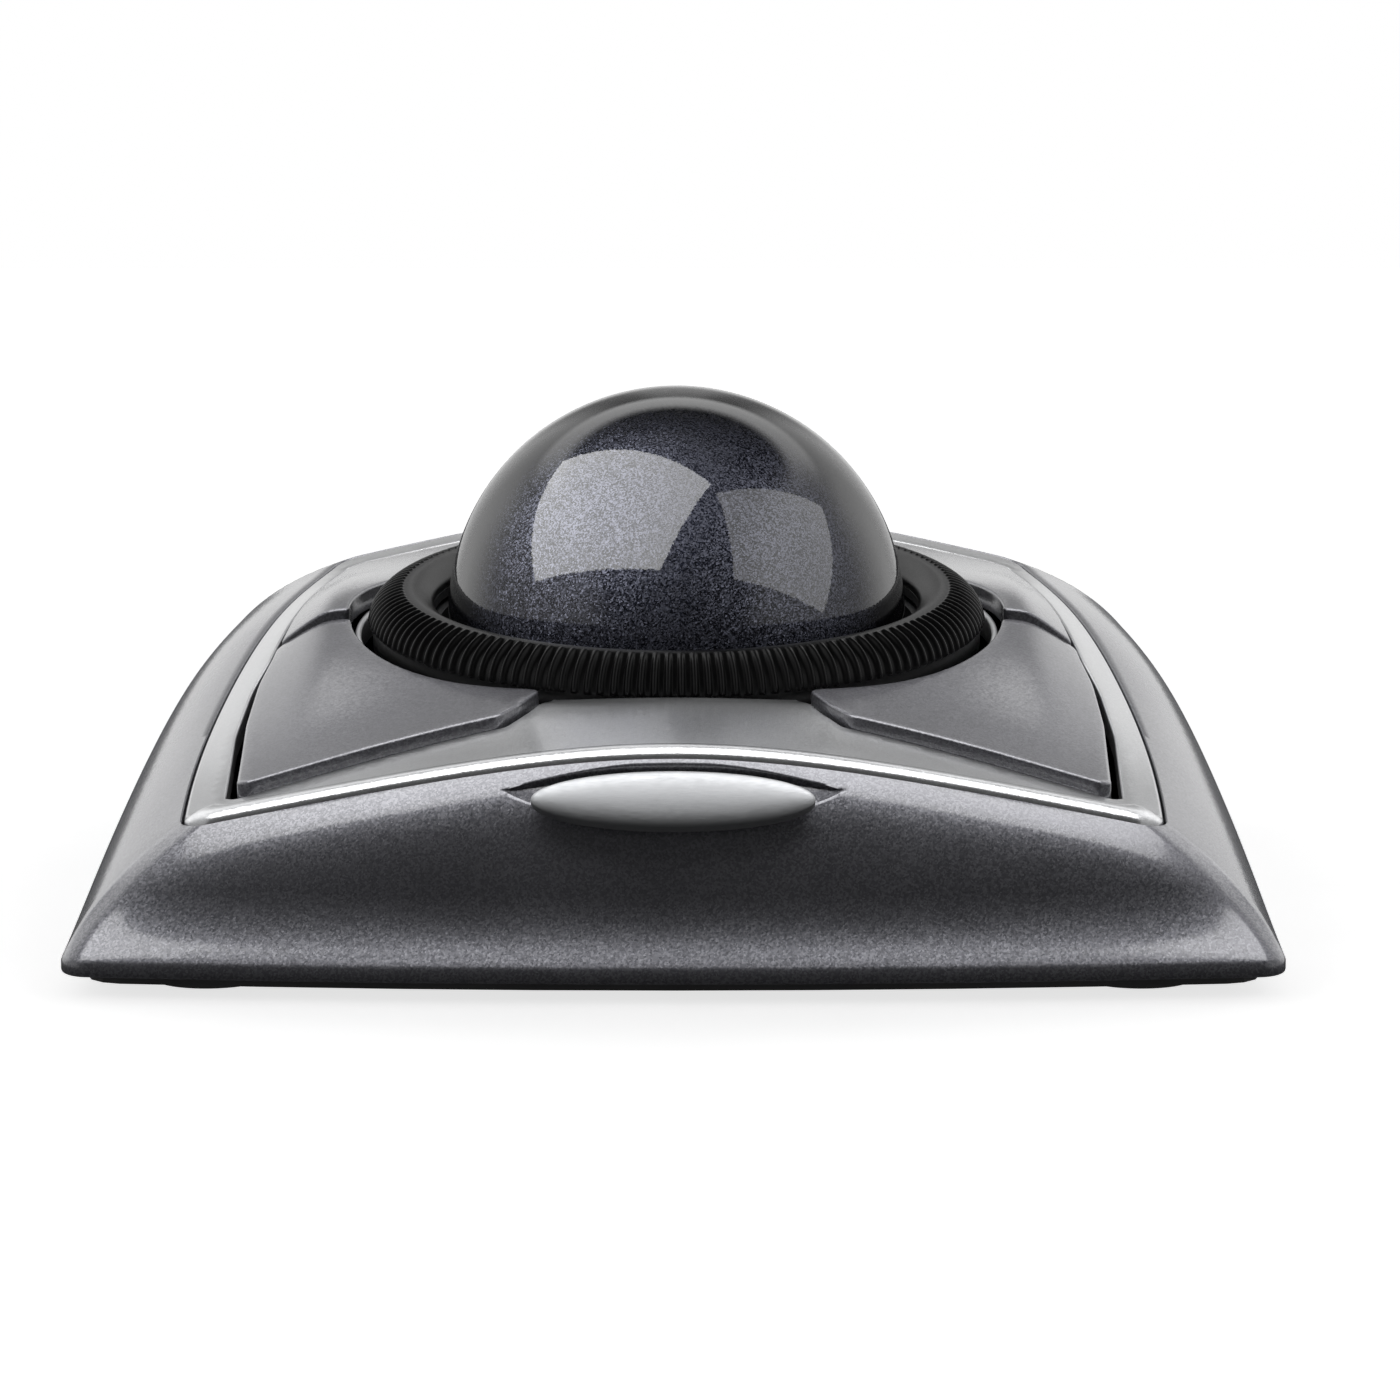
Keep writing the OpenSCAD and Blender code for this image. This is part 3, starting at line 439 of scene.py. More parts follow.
def moulded(name, colour, roughness, grain=0.00025, depth=0.05, **more):
    """Plain moulded plastic or rubber with a fine grain and a slight unevenness of tone."""
    made, n = material(name)
    point = object_point(n)
    fine = noise(n, point, 1 / grain)
    broad = noise(n, point, 90)
    bump = n.add("ShaderNodeBump", Strength=depth, Distance=0.0002, Height=fine)
    shade = n.mix(n.step(broad, 0.25, 0.75), shaded(colour, 0.88), shaded(colour, 1.1))
    worn = n.step(fine, 0.2, 0.8, roughness * 0.9, min(1, roughness * 1.1))
    finish_material(n, Base_Color=shade, Roughness=worn, Normal=bump.outputs[0], **more)
    return made


def circuit(name):
    """Green board with paler copper runs under the solder mask."""
    made, n = material(name)
    point = object_point(n)
    brick = n.add("ShaderNodeTexBrick", Vector=point, Scale=260.0, Color1=rgb(0.02, 0.16, 0.07),
                  Color2=rgb(0.015, 0.12, 0.05), Mortar=rgb(0.05, 0.26, 0.12))
    worn = n.step(noise(n, point, 900), 0.2, 0.8, 0.25, 0.4)
    finish_material(n, Base_Color=brick.outputs[0], Roughness=worn, Coat_Weight=0.5)
    return made


def metal(name, colour, roughness):
    """Metal with fine brushing."""
    made, n = material(name)
    point = object_point(n)
    brushed = n.add("ShaderNodeMapping", Vector=point, Scale=(900, 900, 9000))
    streak = noise(n, brushed.outputs[0], 1.0)
    bump = n.add("ShaderNodeBump", Strength=0.05, Distance=0.0001, Height=streak)
    worn = n.step(streak, 0.2, 0.8, roughness * 0.85, roughness * 1.15)
    shade = n.mix(streak, shaded(colour, 0.9), rgb(*colour))
    finish_material(n, Base_Color=shade, Metallic=1.0, Roughness=worn, Normal=bump.outputs[0])
    return made


def clear(name, colour):
    """Clear moulded plastic."""
    made, n = material(name)
    tone = n.mix(noise(n, object_point(n), 300), shaded(colour, 0.94), rgb(*colour))
    finish_material(n, Base_Color=tone, Roughness=0.05, Transmission_Weight=0.85, IOR=1.49)
    return made


MATERIALS = {
    "case_paint": flake_paint("case_paint", rgb(0.10, 0.10, 0.112), rgb(0.16, 0.16, 0.175), 0.9, 0.44,
                              0.0002, 0.12, coat_roughness=0.12),
    "trim_silver": flake_paint("trim_silver", rgb(0.49, 0.495, 0.505), rgb(0.56, 0.565, 0.575), 0.9, 0.30,
                               0.00014, 0.1, coat_roughness=0.12),
    "ball_resin": flake_paint("ball_resin", rgb(0.002, 0.0025, 0.005), rgb(0.072, 0.075, 0.096), 0.8, 0.38,
                              0.00015, 0.4, coat_tilt=0.008, coat_roughness=0.02, limb=0.1),
    "badge_metal": metal("badge_metal", (0.37, 0.375, 0.385), 0.5),
    "ring_rubber": moulded("ring_rubber", (0.004, 0.004, 0.0045), 0.36, Specular_IOR_Level=0.36),
    "base_plastic": moulded("base_plastic", (0.014, 0.014, 0.015), 0.5, grain=0.0006, depth=0.25),
    "foot_rubber": moulded("foot_rubber", (0.02, 0.02, 0.02), 0.8),
    "label_foil": moulded("label_foil", (0.55, 0.55, 0.56), 0.45),
    "cable_rubber": moulded("cable_rubber", (0.016, 0.016, 0.017), 0.45),
    "ceramic": moulded("ceramic", (0.80, 0.79, 0.74), 0.3),
    "chip_black": moulded("chip_black", (0.015, 0.015, 0.016), 0.55),
    "steel": metal("steel", (0.60, 0.61, 0.63), 0.25),
    "circuit_board": circuit("circuit_board"),
    "lens_clear": clear("lens_clear", (0.9, 0.94, 0.97)),
    "light_red": clear("light_red", (0.9, 0.15, 0.12)),
}

for part in frame["record"]["subparts"]:
    mesh = frame["nodes"][part["node"]].data
    mesh.materials.clear()
    mesh.materials.append(MATERIALS[part["material_slot"]])

# ---------------- case

WALL = 2.2
SKIRT_Z, SKIRT_R = 2.0, 0.6
FLANK_Z = 3.5
FLANK_END = math.radians(60)
FULL_POWER, CORNER_POWER = 2.6, 1.2
EDGE_GAP = 0.4
EDGE_R = 0.45
EDGE_WALL = 2.6             # height of the case's wall beside the trim
INNER_DROP = 3.2            # depth of the inner skin under the deck at its rim
# The lip leans out straight from its low to its mid height, and fades out at its high one
LIP_LOW, LIP_MID, LIP_HIGH, LIP_SLOPE = 3.6, 5.4, 11.0, 0.75
LIP_OUT = LIP_SLOPE * (LIP_MID - LIP_LOW + (LIP_HIGH - LIP_MID) / 2)
LIP_SHARE = 0.06            # share of the half depth where the lip fades out round the front corners
RECESS_HALF, RECESS_TIP_Z, RECESS_LOW_Z, RECESS_HIGH_Z, RECESS_DEPTH = 20.7, 21.5, 18.2, 24.35, 1.3
RECESS_EDGE = 0.08          # half height of the recess at its tips
PLAIN_LOW, PLAIN_HIGH = 0.80, 0.82          # the same rows away from the front, as shares of the height
RECESS_LOW_MOST, RECESS_HIGH_MOST = 0.93, 0.985         # most that its edges' shares may be
BADGE_LEAN = math.radians(56)
CASE_STEPS = (260, 90, 60, 12)      # points along the front, each side, the rear and each corner
LIP_ROWS, BELOW_ROWS, ABOVE_ROWS, INNER_ROWS = 20, 30, 9, 8
SKIRT_ROWS, EDGE_ROWS = 5, 6
# Rows across the recess, as shares of its height, and its depth along them
RECESS_ROWS = np.array([0, 0.03, 0.06, 0.1, 0.15, 0.25, 0.4, 0.55,
                        0.7, 0.8, 0.86, 0.9, 0.93, 0.96, 0.98, 1])
RECESS_AT = [0, 0.03, 0.12, 0.86, 0.96, 0.98, 1]
RECESS_SUNK = [0, 0.08, 1, 1, 0.15, 0.05, 0]


def smooth(t):
    t = np.clip(t, 0, 1)
    return t * t * (3 - 2 * t)


def flank_rows(unit, foot, rim, shares, rim_drop):
    """Points of the flank between plan points of its foot and rim, at shares (rows, points) of its height."""
    power = FULL_POWER + (CORNER_POWER - FULL_POWER) * unit[:, 0] ** 4 * ((1 - unit[:, 1]) / 2) ** 2
    q = 2 / power
    rim_z = deck_z(rim[:, 0], rim[:, 1]) - rim_drop
    angle = np.arcsin(np.clip(shares ** (1 / q) * math.sin(FLANK_END), 0, 1))
    along = (1 - np.cos(angle) ** q) / (1 - math.cos(FLANK_END) ** q)
    z = FLANK_Z + (rim_z - FLANK_Z) * shares
    xy = foot[None] + (rim - foot)[None] * along[..., None]
    return np.concatenate([xy, z[..., None]], 2)


def recess_shares(unit, x, rim_z):
    """Shares of the flank's height where the recess starts and ends, and how open it is, for each point."""
    front = unit[:, 1] < -1 + CASE_CORNER * 0.5
    span = np.where(front, np.clip(1 - (x / RECESS_HALF) ** 2, 0, 1), 0)
    height = rim_z - FLANK_Z
    tip = (RECESS_TIP_Z - FLANK_Z) / height
    low = tip - (RECESS_TIP_Z - RECESS_LOW_Z) * span / height - RECESS_EDGE / height
    high = tip + (RECESS_HIGH_Z - RECESS_TIP_Z) * span / height + RECESS_EDGE / height
    low, high = np.where(front, low, PLAIN_LOW), np.where(front, high, PLAIN_HIGH)
    return np.minimum(low, RECESS_LOW_MOST), np.minimum(high, RECESS_HIGH_MOST), span


def build_case():
    """Upper case: one closed skin, from the skirt's foot over the flank to the trim, and back inside."""
    unit = unit_outline(*CASE_STEPS, CASE_CORNER)
    rim = on_plan(unit_outline(*CASE_STEPS, TRIM_CORNER), grow(TRIM_PLAN, EDGE_GAP))
    base = on_plan(unit, CASE_PLAN)
    lip = LIP_OUT * smooth((-unit[:, 1] - 1 + LIP_SHARE) / LIP_SHARE)
    foot = base + np.column_stack([np.zeros(len(unit)), lip])
    rim_z = deck_z(rim[:, 0], rim[:, 1])
    low, high, span = recess_shares(unit, base[:, 0], rim_z)
    lip_heights = np.linspace(FLANK_Z + 0.02, LIP_HIGH + 0.3, LIP_ROWS)
    lip_shares = (lip_heights[:, None] - FLANK_Z) / (rim_z - FLANK_Z)
    below = lip_shares[-1] + (low - lip_shares[-1]) * np.linspace(0, 1, BELOW_ROWS)[1:-1, None] ** 0.9
    across = low + (high - low) * RECESS_ROWS[:, None]
    above = high + (1 - high) * np.linspace(0, 1, ABOVE_ROWS)[1:, None]
    rows = flank_rows(unit, foot, rim, np.concatenate([lip_shares, below, across, above]), 0)

    # the lip leans out along the foot of the front
    up = rows[..., 2]
    straight = np.clip(LIP_MID - up, 0, LIP_MID - LIP_LOW)
    fading = np.clip(LIP_HIGH - up, 0, LIP_HIGH - LIP_MID) ** 2 / (2 * (LIP_HIGH - LIP_MID))
    rows[..., 1] -= lip[None] * LIP_SLOPE * (straight + fading) / LIP_OUT

    # the recess sinks between its two edges, with a bevel below and a steep wall above
    first = len(lip_shares) + len(below)
    recess = slice(first, first + len(RECESS_ROWS))
    sink = RECESS_DEPTH * np.interp(RECESS_ROWS, RECESS_AT, RECESS_SUNK)[:, None] * np.sqrt(span)[None]
    rows[recess, :, 1] += sink * math.sin(BADGE_LEAN)
    rows[recess, :, 2] -= sink * math.cos(BADGE_LEAN)

    def level(inset, z):
        return np.column_stack([on_plan(unit, grow(CASE_PLAN, -inset)), np.full(len(unit), z)])

    loops = [level(WALL, SKIRT_Z)]
    for a in np.linspace(0, math.pi / 2, SKIRT_ROWS):
        loops.append(level(SKIRT_R * (1 - math.sin(a)), SKIRT_Z + SKIRT_R * (1 - math.cos(a))))
    loops += list(rows)

    # the top edge rolls over into the gap beside the trim and runs down its wall
    inward = on_plan(unit_outline(*CASE_STEPS, TRIM_CORNER), grow(TRIM_PLAN, EDGE_GAP / 2)) - rim
    last = rows[-1].copy()
    for a in np.linspace(0, math.pi / 2, EDGE_ROWS)[1:]:
        drop = EDGE_R * (1 - math.cos(a))
        loops.append(np.column_stack([last[:, :2] + inward * math.sin(a), last[:, 2] - drop]))
    wall_foot = loops[-1].copy()
    wall_foot[:, 2] -= EDGE_WALL
    loops.append(wall_foot)
    inner_foot = on_plan(unit, grow(CASE_PLAN, -WALL)) + (foot - base)
    inner_shares = np.linspace(0.96, 0, INNER_ROWS)[:, None] * np.ones(len(unit))
    loops += list(flank_rows(unit, inner_foot, rim, inner_shares, INNER_DROP))
    faces = loop_faces(len(loops), len(unit), closed_rows=True)
    mesh_piece("upper_case_shell", np.concatenate(loops), faces, "case", "case_paint", ["upper_case"], 50)


build_case()

# ---------------- badge

BADGE_HALF = (15.0, 3.3)
BADGE_CROWN = 1.1
BADGE_FOOT = -1.0
BADGE_STEPS, BADGE_RINGS = 160, 14
BADGE_AT = np.array([0, -68.0, 21.0])


def build_badge():
    """Blank oval dome with a rounded rim."""
    count = BADGE_STEPS
    oval = circle(1, 1, round_angles(count)) * np.array([*BADGE_HALF, 1])
    rows = [oval * np.array([1, 1, BADGE_FOOT])]
    for share in np.linspace(0, 1, BADGE_RINGS + 1)[:-1]:
        scale = math.cos(share * math.pi / 2)
        lift = BADGE_CROWN * (0.5 * math.sqrt(1 - scale**6) + 0.3 * (1 - scale**2))
        rows.append(oval * np.array([scale, scale, lift]))
    verts = np.concatenate(rows + [np.array([[0, 0, BADGE_CROWN * 0.8], [0, 0, BADGE_FOOT]])])
    faces = loop_faces(len(rows), count)
    crown, foot, last = len(verts) - 2, len(verts) - 1, (len(rows) - 1) * count
    faces += [(last + i, last + (i + 1) % count, crown) for i in range(count)]
    faces += [((i + 1) % count, i, foot) for i in range(count)]
    c, s = math.cos(BADGE_LEAN), math.sin(BADGE_LEAN)
    x, y, z = verts.T
    placed = np.stack([x, y * c - z * s, y * s + z * c], 1) + BADGE_AT
    mesh_piece("badge_plate", placed, faces, "case", "badge_metal", ["badge"], 60)


build_badge()

# ---------------- trim frame

TRIM_T = 2.6
BEAD_W, BEAD_H = 3.4, 1.0
# Rows across the bead, as shares of its width
BEAD_ROWS = np.array([0, 0.03, 0.07, 0.15, 0.27, 0.38, 0.5, 0.62, 0.73, 0.85, 0.93, 0.97, 1, 1.06, 1.15])
TRIM_STEPS = (150, 110, 80, 14)     # points along the front, each side, the rear and each corner
TRIM_PITCH = 1.3
TRIM_EDGE_R = 0.35
# The front strip falls towards the ring: evenly, with the square of x, and over a reach from the ring
STRIP_DROP, STRIP_FALL, STRIP_REACH = 0.25, 0.002, 4.0
SIDE_SHARE = 0.15           # width of the edge beside and behind the buttons, as a share of the front's
COLLAR_IN, COLLAR_OUT, COLLAR_LOW, COLLAR_HIGH, COLLAR_EDGE = 37.9, 38.7, -4.5, -1.6, 0.2
COLLAR_STEPS = 240
STRIP_HALF = 14.4
FRONT_ARC_R, REAR_ARC_R = COLLAR_OUT + 0.4, COLLAR_OUT + 0.65
WINDOW_PITCH = 0.7


def arc_on_deck(radius, x_from, x_to, front):
    """Plan points of a circle round the ring, on the deck, between two x values of its front or rear half."""
    side = -1 if front else 1
    a0, a1 = (math.atan2(side * math.sqrt(radius**2 - x * x), x) for x in (x_from, x_to))
    return plan_of_arc(radius, a0, a1)


def plan_of_arc(radius, a0, a1):
    """Plan points on the deck at a distance from the ring's axis, between two angles round it."""
    steps = max(2, int(abs(a1 - a0) * radius / WINDOW_PITCH))
    points = []
    for a in np.linspace(a0, a1, steps + 1):
        lift = DECK_RISE
        for _ in range(4):
            p = from_deck([(radius * math.cos(a), radius * math.sin(a), lift)])[0]
            lift += (deck_z(p[0], p[1]) - p[2]) * math.cos(TILT)
        points.append(p[:2])
    return points


PARTING = [(43, -1.8), (48.4, -1.0)]     # line between the front and rear buttons
PARTING_GAP = 0.4


def front_edge(gap, side, line_gap):
    """Right front button or window: (x, y, corner) points from the ring's strip to the rear inner corner."""
    (x0, y0), (x1, y1) = PARTING
    return [(STRIP_HALF + gap, -36.2, 0.8), (16.4 + gap, -41, 6), (18.7 + gap, -45.4 + gap, 1.2),
            (34.5, -49.6 + gap, 40), (47.6 - side, -53.4 + gap, 0.9), (48.8 - side, -52.2 + gap, 1.2),
            (50 - side, -30, 60), (49.6 - side * 0.6, -15, 60), (48.5 - side * 0.2, -6, 30),
            (x1 - side * 0.2, y1 - line_gap, 0.8), (x0, y0 - line_gap, 3)]


def rear_edge(gap, side, line_gap):
    """Right rear button or window, from its front inner corner round to the ring's strip."""
    (x0, y0), (x1, y1) = PARTING
    return [(x0, y0 + line_gap, 3), (x1 - side * 0.7, y1 + line_gap, 0.8), (47.5 - side * 0.25, 10, 60),
            (46.6 - side * 0.2, 22, 60), (45 - side * 0.2, 38, 60), (43.4 - side * 0.2, 47.4, 3),
            (41.8 - side * 0.2, 49.4 - gap / 2, 2), (30, 51 - gap / 2, 30),
            (STRIP_HALF + gap, 51.6 - gap / 2, 1.5), (STRIP_HALF + gap, 36.2, 0.8)]


def mirrored(points):
    """The left side's points from the right side's, in the order that keeps the loop's sense."""
    return [(-p[0],) + tuple(p[1:]) for p in reversed(points)]


def trim_hole():
    """The one opening of the trim's top, clockwise: both side windows and the ring's hole joined."""
    right = front_edge(0, 0, 0)[:-2] + rear_edge(0, 0, 0)[2:]
    front_arc = [(x, y, 0) for x, y in arc_on_deck(COLLAR_IN, -STRIP_HALF, STRIP_HALF, True)[1:-1]]
    rear_arc = [(x, y, 0) for x, y in arc_on_deck(COLLAR_IN, STRIP_HALF, -STRIP_HALF, False)[1:-1]]
    return rounded(front_arc + right + rear_arc + mirrored(right), WINDOW_PITCH)[::-1]


def bead_height(away):
    """Height of the bead at a distance from the trim's outer edge."""
    mid = BEAD_W / 2
    return BEAD_H * np.sqrt(np.clip(1 - ((away - mid) / mid) ** 2, 0, 1))


def trim_z(x, y):
    """Height of the trim: the deck, falling a little towards the ring on the front strip."""
    reach = np.hypot(x, y / math.cos(TILT)) - COLLAR_IN
    near = smooth(1 - reach / STRIP_REACH) * (y < 0)
    return deck_z(x, y) - near * (STRIP_DROP + STRIP_FALL * np.clip(np.abs(x), 0, STRIP_HALF) ** 2)


def build_trim():
    """Trim frame: a plate with a bead along its front, one large opening, and a collar round the ring."""
    unit = unit_outline(*TRIM_STEPS, TRIM_CORNER)
    on_front = smooth((-unit[:, 1] - (1 - TRIM_CORNER * 1.1)) / (TRIM_CORNER * 0.8))
    rows = []
    for step in BEAD_W * BEAD_ROWS:
        away = step * (SIDE_SHARE + (1 - SIDE_SHARE) * on_front)
        xy = on_plan(unit, grow(TRIM_PLAN, -away))
        round_off = TRIM_EDGE_R * (1 - np.sqrt(1 - np.clip(1 - away / TRIM_EDGE_R, 0, 1) ** 2))
        lift = on_front * bead_height(away) - (1 - on_front) * round_off
        rows.append(np.column_stack([xy, deck_z(xy[:, 0], xy[:, 1]) + lift]))
    foot = rows[0].copy()
    foot[:, 2] -= TRIM_T
    hole = trim_hole()
    hole_in = hole + left_normals(hole) * TRIM_EDGE_R
    flat, tris = fill([rows[-1][:, :2], hole_in], TRIM_PITCH)
    count, holes = len(unit), len(hole)
    verts, faces = [foot] + rows[:-1], loop_faces(len(rows), count)
    crown_at = count * len(rows)
    last = crown_at - count
    faces += [(last + i, last + (i + 1) % count, crown_at + (i + 1) % count, crown_at + i)
              for i in range(count)]
    verts.append(np.column_stack([flat, trim_z(flat[:, 0], flat[:, 1])]))
    faces += [t + crown_at for t in tris]

    # the opening's rounded rim and its wall
    at = crown_at + len(flat)
    upper = crown_at + count
    for a in (60, 30, 0, None):
        if a is None:
            xy, z = hole, trim_z(hole[:, 0], hole[:, 1]) - TRIM_T
        else:
            c, s = math.cos(math.radians(a)), math.sin(math.radians(a))
            xy = hole + left_normals(hole) * TRIM_EDGE_R * (1 - c)
            z = trim_z(xy[:, 0], xy[:, 1]) - TRIM_EDGE_R * (1 - s)
        verts.append(np.column_stack([xy, z]))
        faces += [(at + i, at + (i + 1) % holes, upper + (i + 1) % holes, upper + i) for i in range(holes)]
        upper = at
        at += holes

    # the underside closes the frame
    under = np.column_stack([flat, trim_z(flat[:, 0], flat[:, 1]) - TRIM_T])
    under[:count] = foot
    under[count:count + holes] = verts[-1]
    verts.append(under)
    faces += [(t + at)[::-1] for t in tris]
    faces += [(i, at + i, at + (i + 1) % count, (i + 1) % count)[::-1] for i in range(count)]
    faces += [(upper + i, upper + (i + 1) % holes, at + count + (i + 1) % holes, at + count + i)[::-1]
              for i in range(holes)]
    all_verts = np.concatenate(verts)

    # a collar below the deck lines the ring's hole
    shoulder = COLLAR_HIGH - COLLAR_EDGE
    collar, collar_faces = revolve(
        [(COLLAR_IN, COLLAR_LOW), (COLLAR_OUT, COLLAR_LOW), (COLLAR_OUT, shoulder),
         (COLLAR_OUT - COLLAR_EDGE, COLLAR_HIGH), (COLLAR_IN + COLLAR_EDGE, COLLAR_HIGH),
         (COLLAR_IN, shoulder)], COLLAR_STEPS)
    collar_faces = [tuple(len(all_verts) + k for k in f) for f in collar_faces]
    mesh_piece("trim_frame_shell", np.concatenate([all_verts, from_deck(collar)]), faces + collar_faces,
               "case", "trim_silver", ["trim_frame"], 55)


build_trim()

# ---------------- buttons

FRONT_PROUD, REAR_PROUD, REAR_FADE = 1.5, 1.05, 0.12
FRONT_SPAN, REAR_SPAN = (-56, -1), (-4, 54)     # plan y where a button stands proud and where it is level
BUTTON_T = 2.6
BUTTON_EDGE_R = 0.4
BUTTON_PITCH = 1.1
GAP, SIDE_GAP = 0.7, 1.1
ARC_GAP = 0.54              # plan distance of the parting line at the inner arc behind its outer corner


def button_top(proud, y_front, y_rear, fade):
    """Height of a button: the deck, raised at the button's front edge and level with it at its rear."""
    def top(x, y):
        side = 1 - fade * np.clip(np.abs(x) - KNEE_X, 0, None)
        return deck_z(x, y) + proud * side * (y_rear - y) / (y_rear - y_front)
    return top


def arc_end(radius, y_at):
    """Angle on a button's inner arc whose plan y is y_at, on the right."""
    angle = 0.0
    for _ in range(20):
        p = plan_of_arc(radius, angle, angle + 1e-6)[0]
        angle += (y_at - p[1]) / radius
    return angle


def corner_and_arc(arc):
    """An arc that starts at a rounded corner, with its points near both ends dropped to make room."""
    return [(arc[0][0], arc[0][1], 0.9)] + [(x, y, 0) for x, y in arc[3:-2]]


def front_button_outline():
    """Right front button: the arc round the ring, then its other sides."""
    start = -math.acos((STRIP_HALF + GAP) / FRONT_ARC_R)
    arc = plan_of_arc(FRONT_ARC_R, arc_end(FRONT_ARC_R, PARTING[0][1] - ARC_GAP - PARTING_GAP), start)
    return corner_and_arc(arc) + front_edge(GAP, SIDE_GAP, PARTING_GAP)


def rear_button_outline():
    """Right rear button: its outer sides, then the arc round the ring."""
    start = math.acos((STRIP_HALF + GAP) / REAR_ARC_R)
    arc = plan_of_arc(REAR_ARC_R, start, arc_end(REAR_ARC_R, PARTING[0][1] - ARC_GAP + PARTING_GAP))
    return rear_edge(GAP, SIDE_GAP, PARTING_GAP) + corner_and_arc(arc[::-1])[::-1]


def build_buttons():
    """The four caps. The left ones mirror the right ones."""
    front = (front_button_outline(), button_top(FRONT_PROUD, *FRONT_SPAN, 0))
    rear = (rear_button_outline(), button_top(REAR_PROUD, *REAR_SPAN, REAR_FADE))
    for place, (outline, top) in (("front", front), ("rear", rear)):
        loop = rounded(outline, WINDOW_PITCH)
        verts, faces = plate(loop, top, BUTTON_T, BUTTON_EDGE_R, BUTTON_PITCH)
        for side, flip in (("right", 1), ("left", -1)):
            name = f"{place}_{side}_button"
            placed = verts * np.array([flip, 1, 1])
            turned = faces if flip == 1 else [tuple(f)[::-1] for f in faces]
            mesh_piece(name + "_cap", placed, turned, name, "case_paint", [name], 50)


build_buttons()

# ---------------- scroll ring

RIBS, RIB_POINTS = 150, 10  # ribs round the ring, and points across each
RIB_DEPTH, RIB_TOP_DEPTH = 0.55, 0.2
RIB_HALF = 0.24             # half width of a rib, as a share of the pitch
RIB_LOW, RIB_HIGH = 2, 81   # angles round the shoulder between which the ribs run
RIB_START, RIB_END = 4, 3   # angles over which they rise and fade
CREST_R, SHOULDER_Z, SHOULDER_RISE = 32.0, -0.5, 4.6
CREST_Z = SHOULDER_Z + SHOULDER_RISE
INNER_RISE = 3.4            # rise of the grip's inner shoulder
GRIP_FOOT, GRIP_T, LIP_R, LIP_TOP, LIP_FOOT = -3.0, 1.5, 29.25, 2.5, 1.2


def build_ring():
    """Rubber grip: rounded ribs over its shoulder, between a plain foot band and a smooth inner band."""
    reach = RING_R - CREST_R
    profile = [(RING_R - GRIP_T, GRIP_FOOT), (RING_R, GRIP_FOOT), (RING_R, -1.8), (RING_R, SHOULDER_Z)]
    depth, share = [0, RIB_DEPTH, RIB_DEPTH, RIB_DEPTH], [0, 0, 0, 0]
    for a in np.concatenate([np.linspace(RIB_LOW, RIB_LOW + RIB_START, 4), np.linspace(RIB_LOW + 8, 76, 18),
                             np.linspace(RIB_HIGH - RIB_END, RIB_HIGH, 3), [83, 90]]):
        c, s = math.cos(math.radians(a)), math.sin(math.radians(a))
        profile.append((CREST_R + reach * c, SHOULDER_Z + SHOULDER_RISE * s))
        depth.append(RIB_DEPTH + (RIB_TOP_DEPTH - RIB_DEPTH) * smooth((a - 60) / 25))
        rise, fade = np.clip((a - RIB_LOW) / RIB_START, 0, 1), np.clip((RIB_HIGH - a) / RIB_END, 0, 1)
        share.append(math.sqrt(rise * fade))
    for t in np.linspace(0, 1, 9)[1:]:
        profile.append((CREST_R + (LIP_R + 0.15 - CREST_R) * t, CREST_Z + (LIP_TOP - CREST_Z) * t**1.6))
        depth.append(RIB_TOP_DEPTH)
        share.append(0)
    profile += [(LIP_R, LIP_TOP - 0.4), (LIP_R, LIP_FOOT + 0.1), (LIP_R + 0.1, LIP_FOOT)]
    for a in np.radians([90, 60, 30, 0]):
        profile.append((CREST_R + (reach - GRIP_T) * math.cos(a), SHOULDER_Z + INNER_RISE * math.sin(a)))
    depth += [0] * 7
    share += [0] * 7
    profile = np.array(profile)
    ahead = np.roll(profile, -1, 0) - np.roll(profile, 1, 0)
    normal = np.stack([ahead[:, 1], -ahead[:, 0]], 1)
    normal /= np.linalg.norm(normal, axis=1)[:, None]
    normal[1] = (1, 0)

    count = RIBS * RIB_POINTS
    angles = round_angles(count)
    from_rib = np.abs((angles * RIBS / (2 * math.pi) + 0.5) % 1 - 0.5)
    rib = np.sqrt(np.clip(1 - (from_rib / RIB_HALF) ** 2, 0, 1))
    rows = []
    for (r, z), d, e, (nr, nz) in zip(profile, depth, share, normal):
        sink = d * (1 - e * rib)
        rows.append(circle(r - nr * sink, z - nz * sink, angles))
    faces = loop_faces(len(rows), count, closed_rows=True)
    mesh_piece("ring_grip_ribbed", from_deck(np.concatenate(rows)), faces, "scroll_ring", "ring_rubber",
               ["ring_grip"])


build_ring()

# ---------------- ball


def build_ball():
    """Polished ball."""
    grown = bmesh.new()
    bmesh.ops.create_icosphere(grown, subdivisions=6, radius=BALL_R)
    verts = np.array([v.co[:] for v in grown.verts]) + np.array([0, 0, BALL_Z])
    faces = [[v.index for v in f.verts] for f in grown.faces]
    grown.free()
    mesh_piece("trackball_polished", verts, faces, "trackball", "ball_resin", ["trackball"])


build_ball()

# ---------------- cable fittings

CABLE_R = 1.8
ROUND = 96                  # points round the plug's body
FLANGE_W, FLANGE_EDGE, FLANGE_STEP = 2, 0.3, 1
NECK_START = 11             # length of the relief's plain part, with its flange
RELIEF_RINGS, RING_DEPTH = 5, 0.5
RELIEF_STEPS, NECK_ROWS = 72, 90
PLUG_GROOVES, GROOVE_DEPTH, GROOVED = 5, 0.45, (0.42, 0.86)
# Rounded ends of the plug's body: shares of its length, with the section's scale there
PLUG_REAR = [(0, 0.85), (0.01, 0.97), (0.03, 1)]
PLUG_FRONT = [(0.96, 1), (0.985, 0.985), (0.997, 0.95), (1, 0.9)]


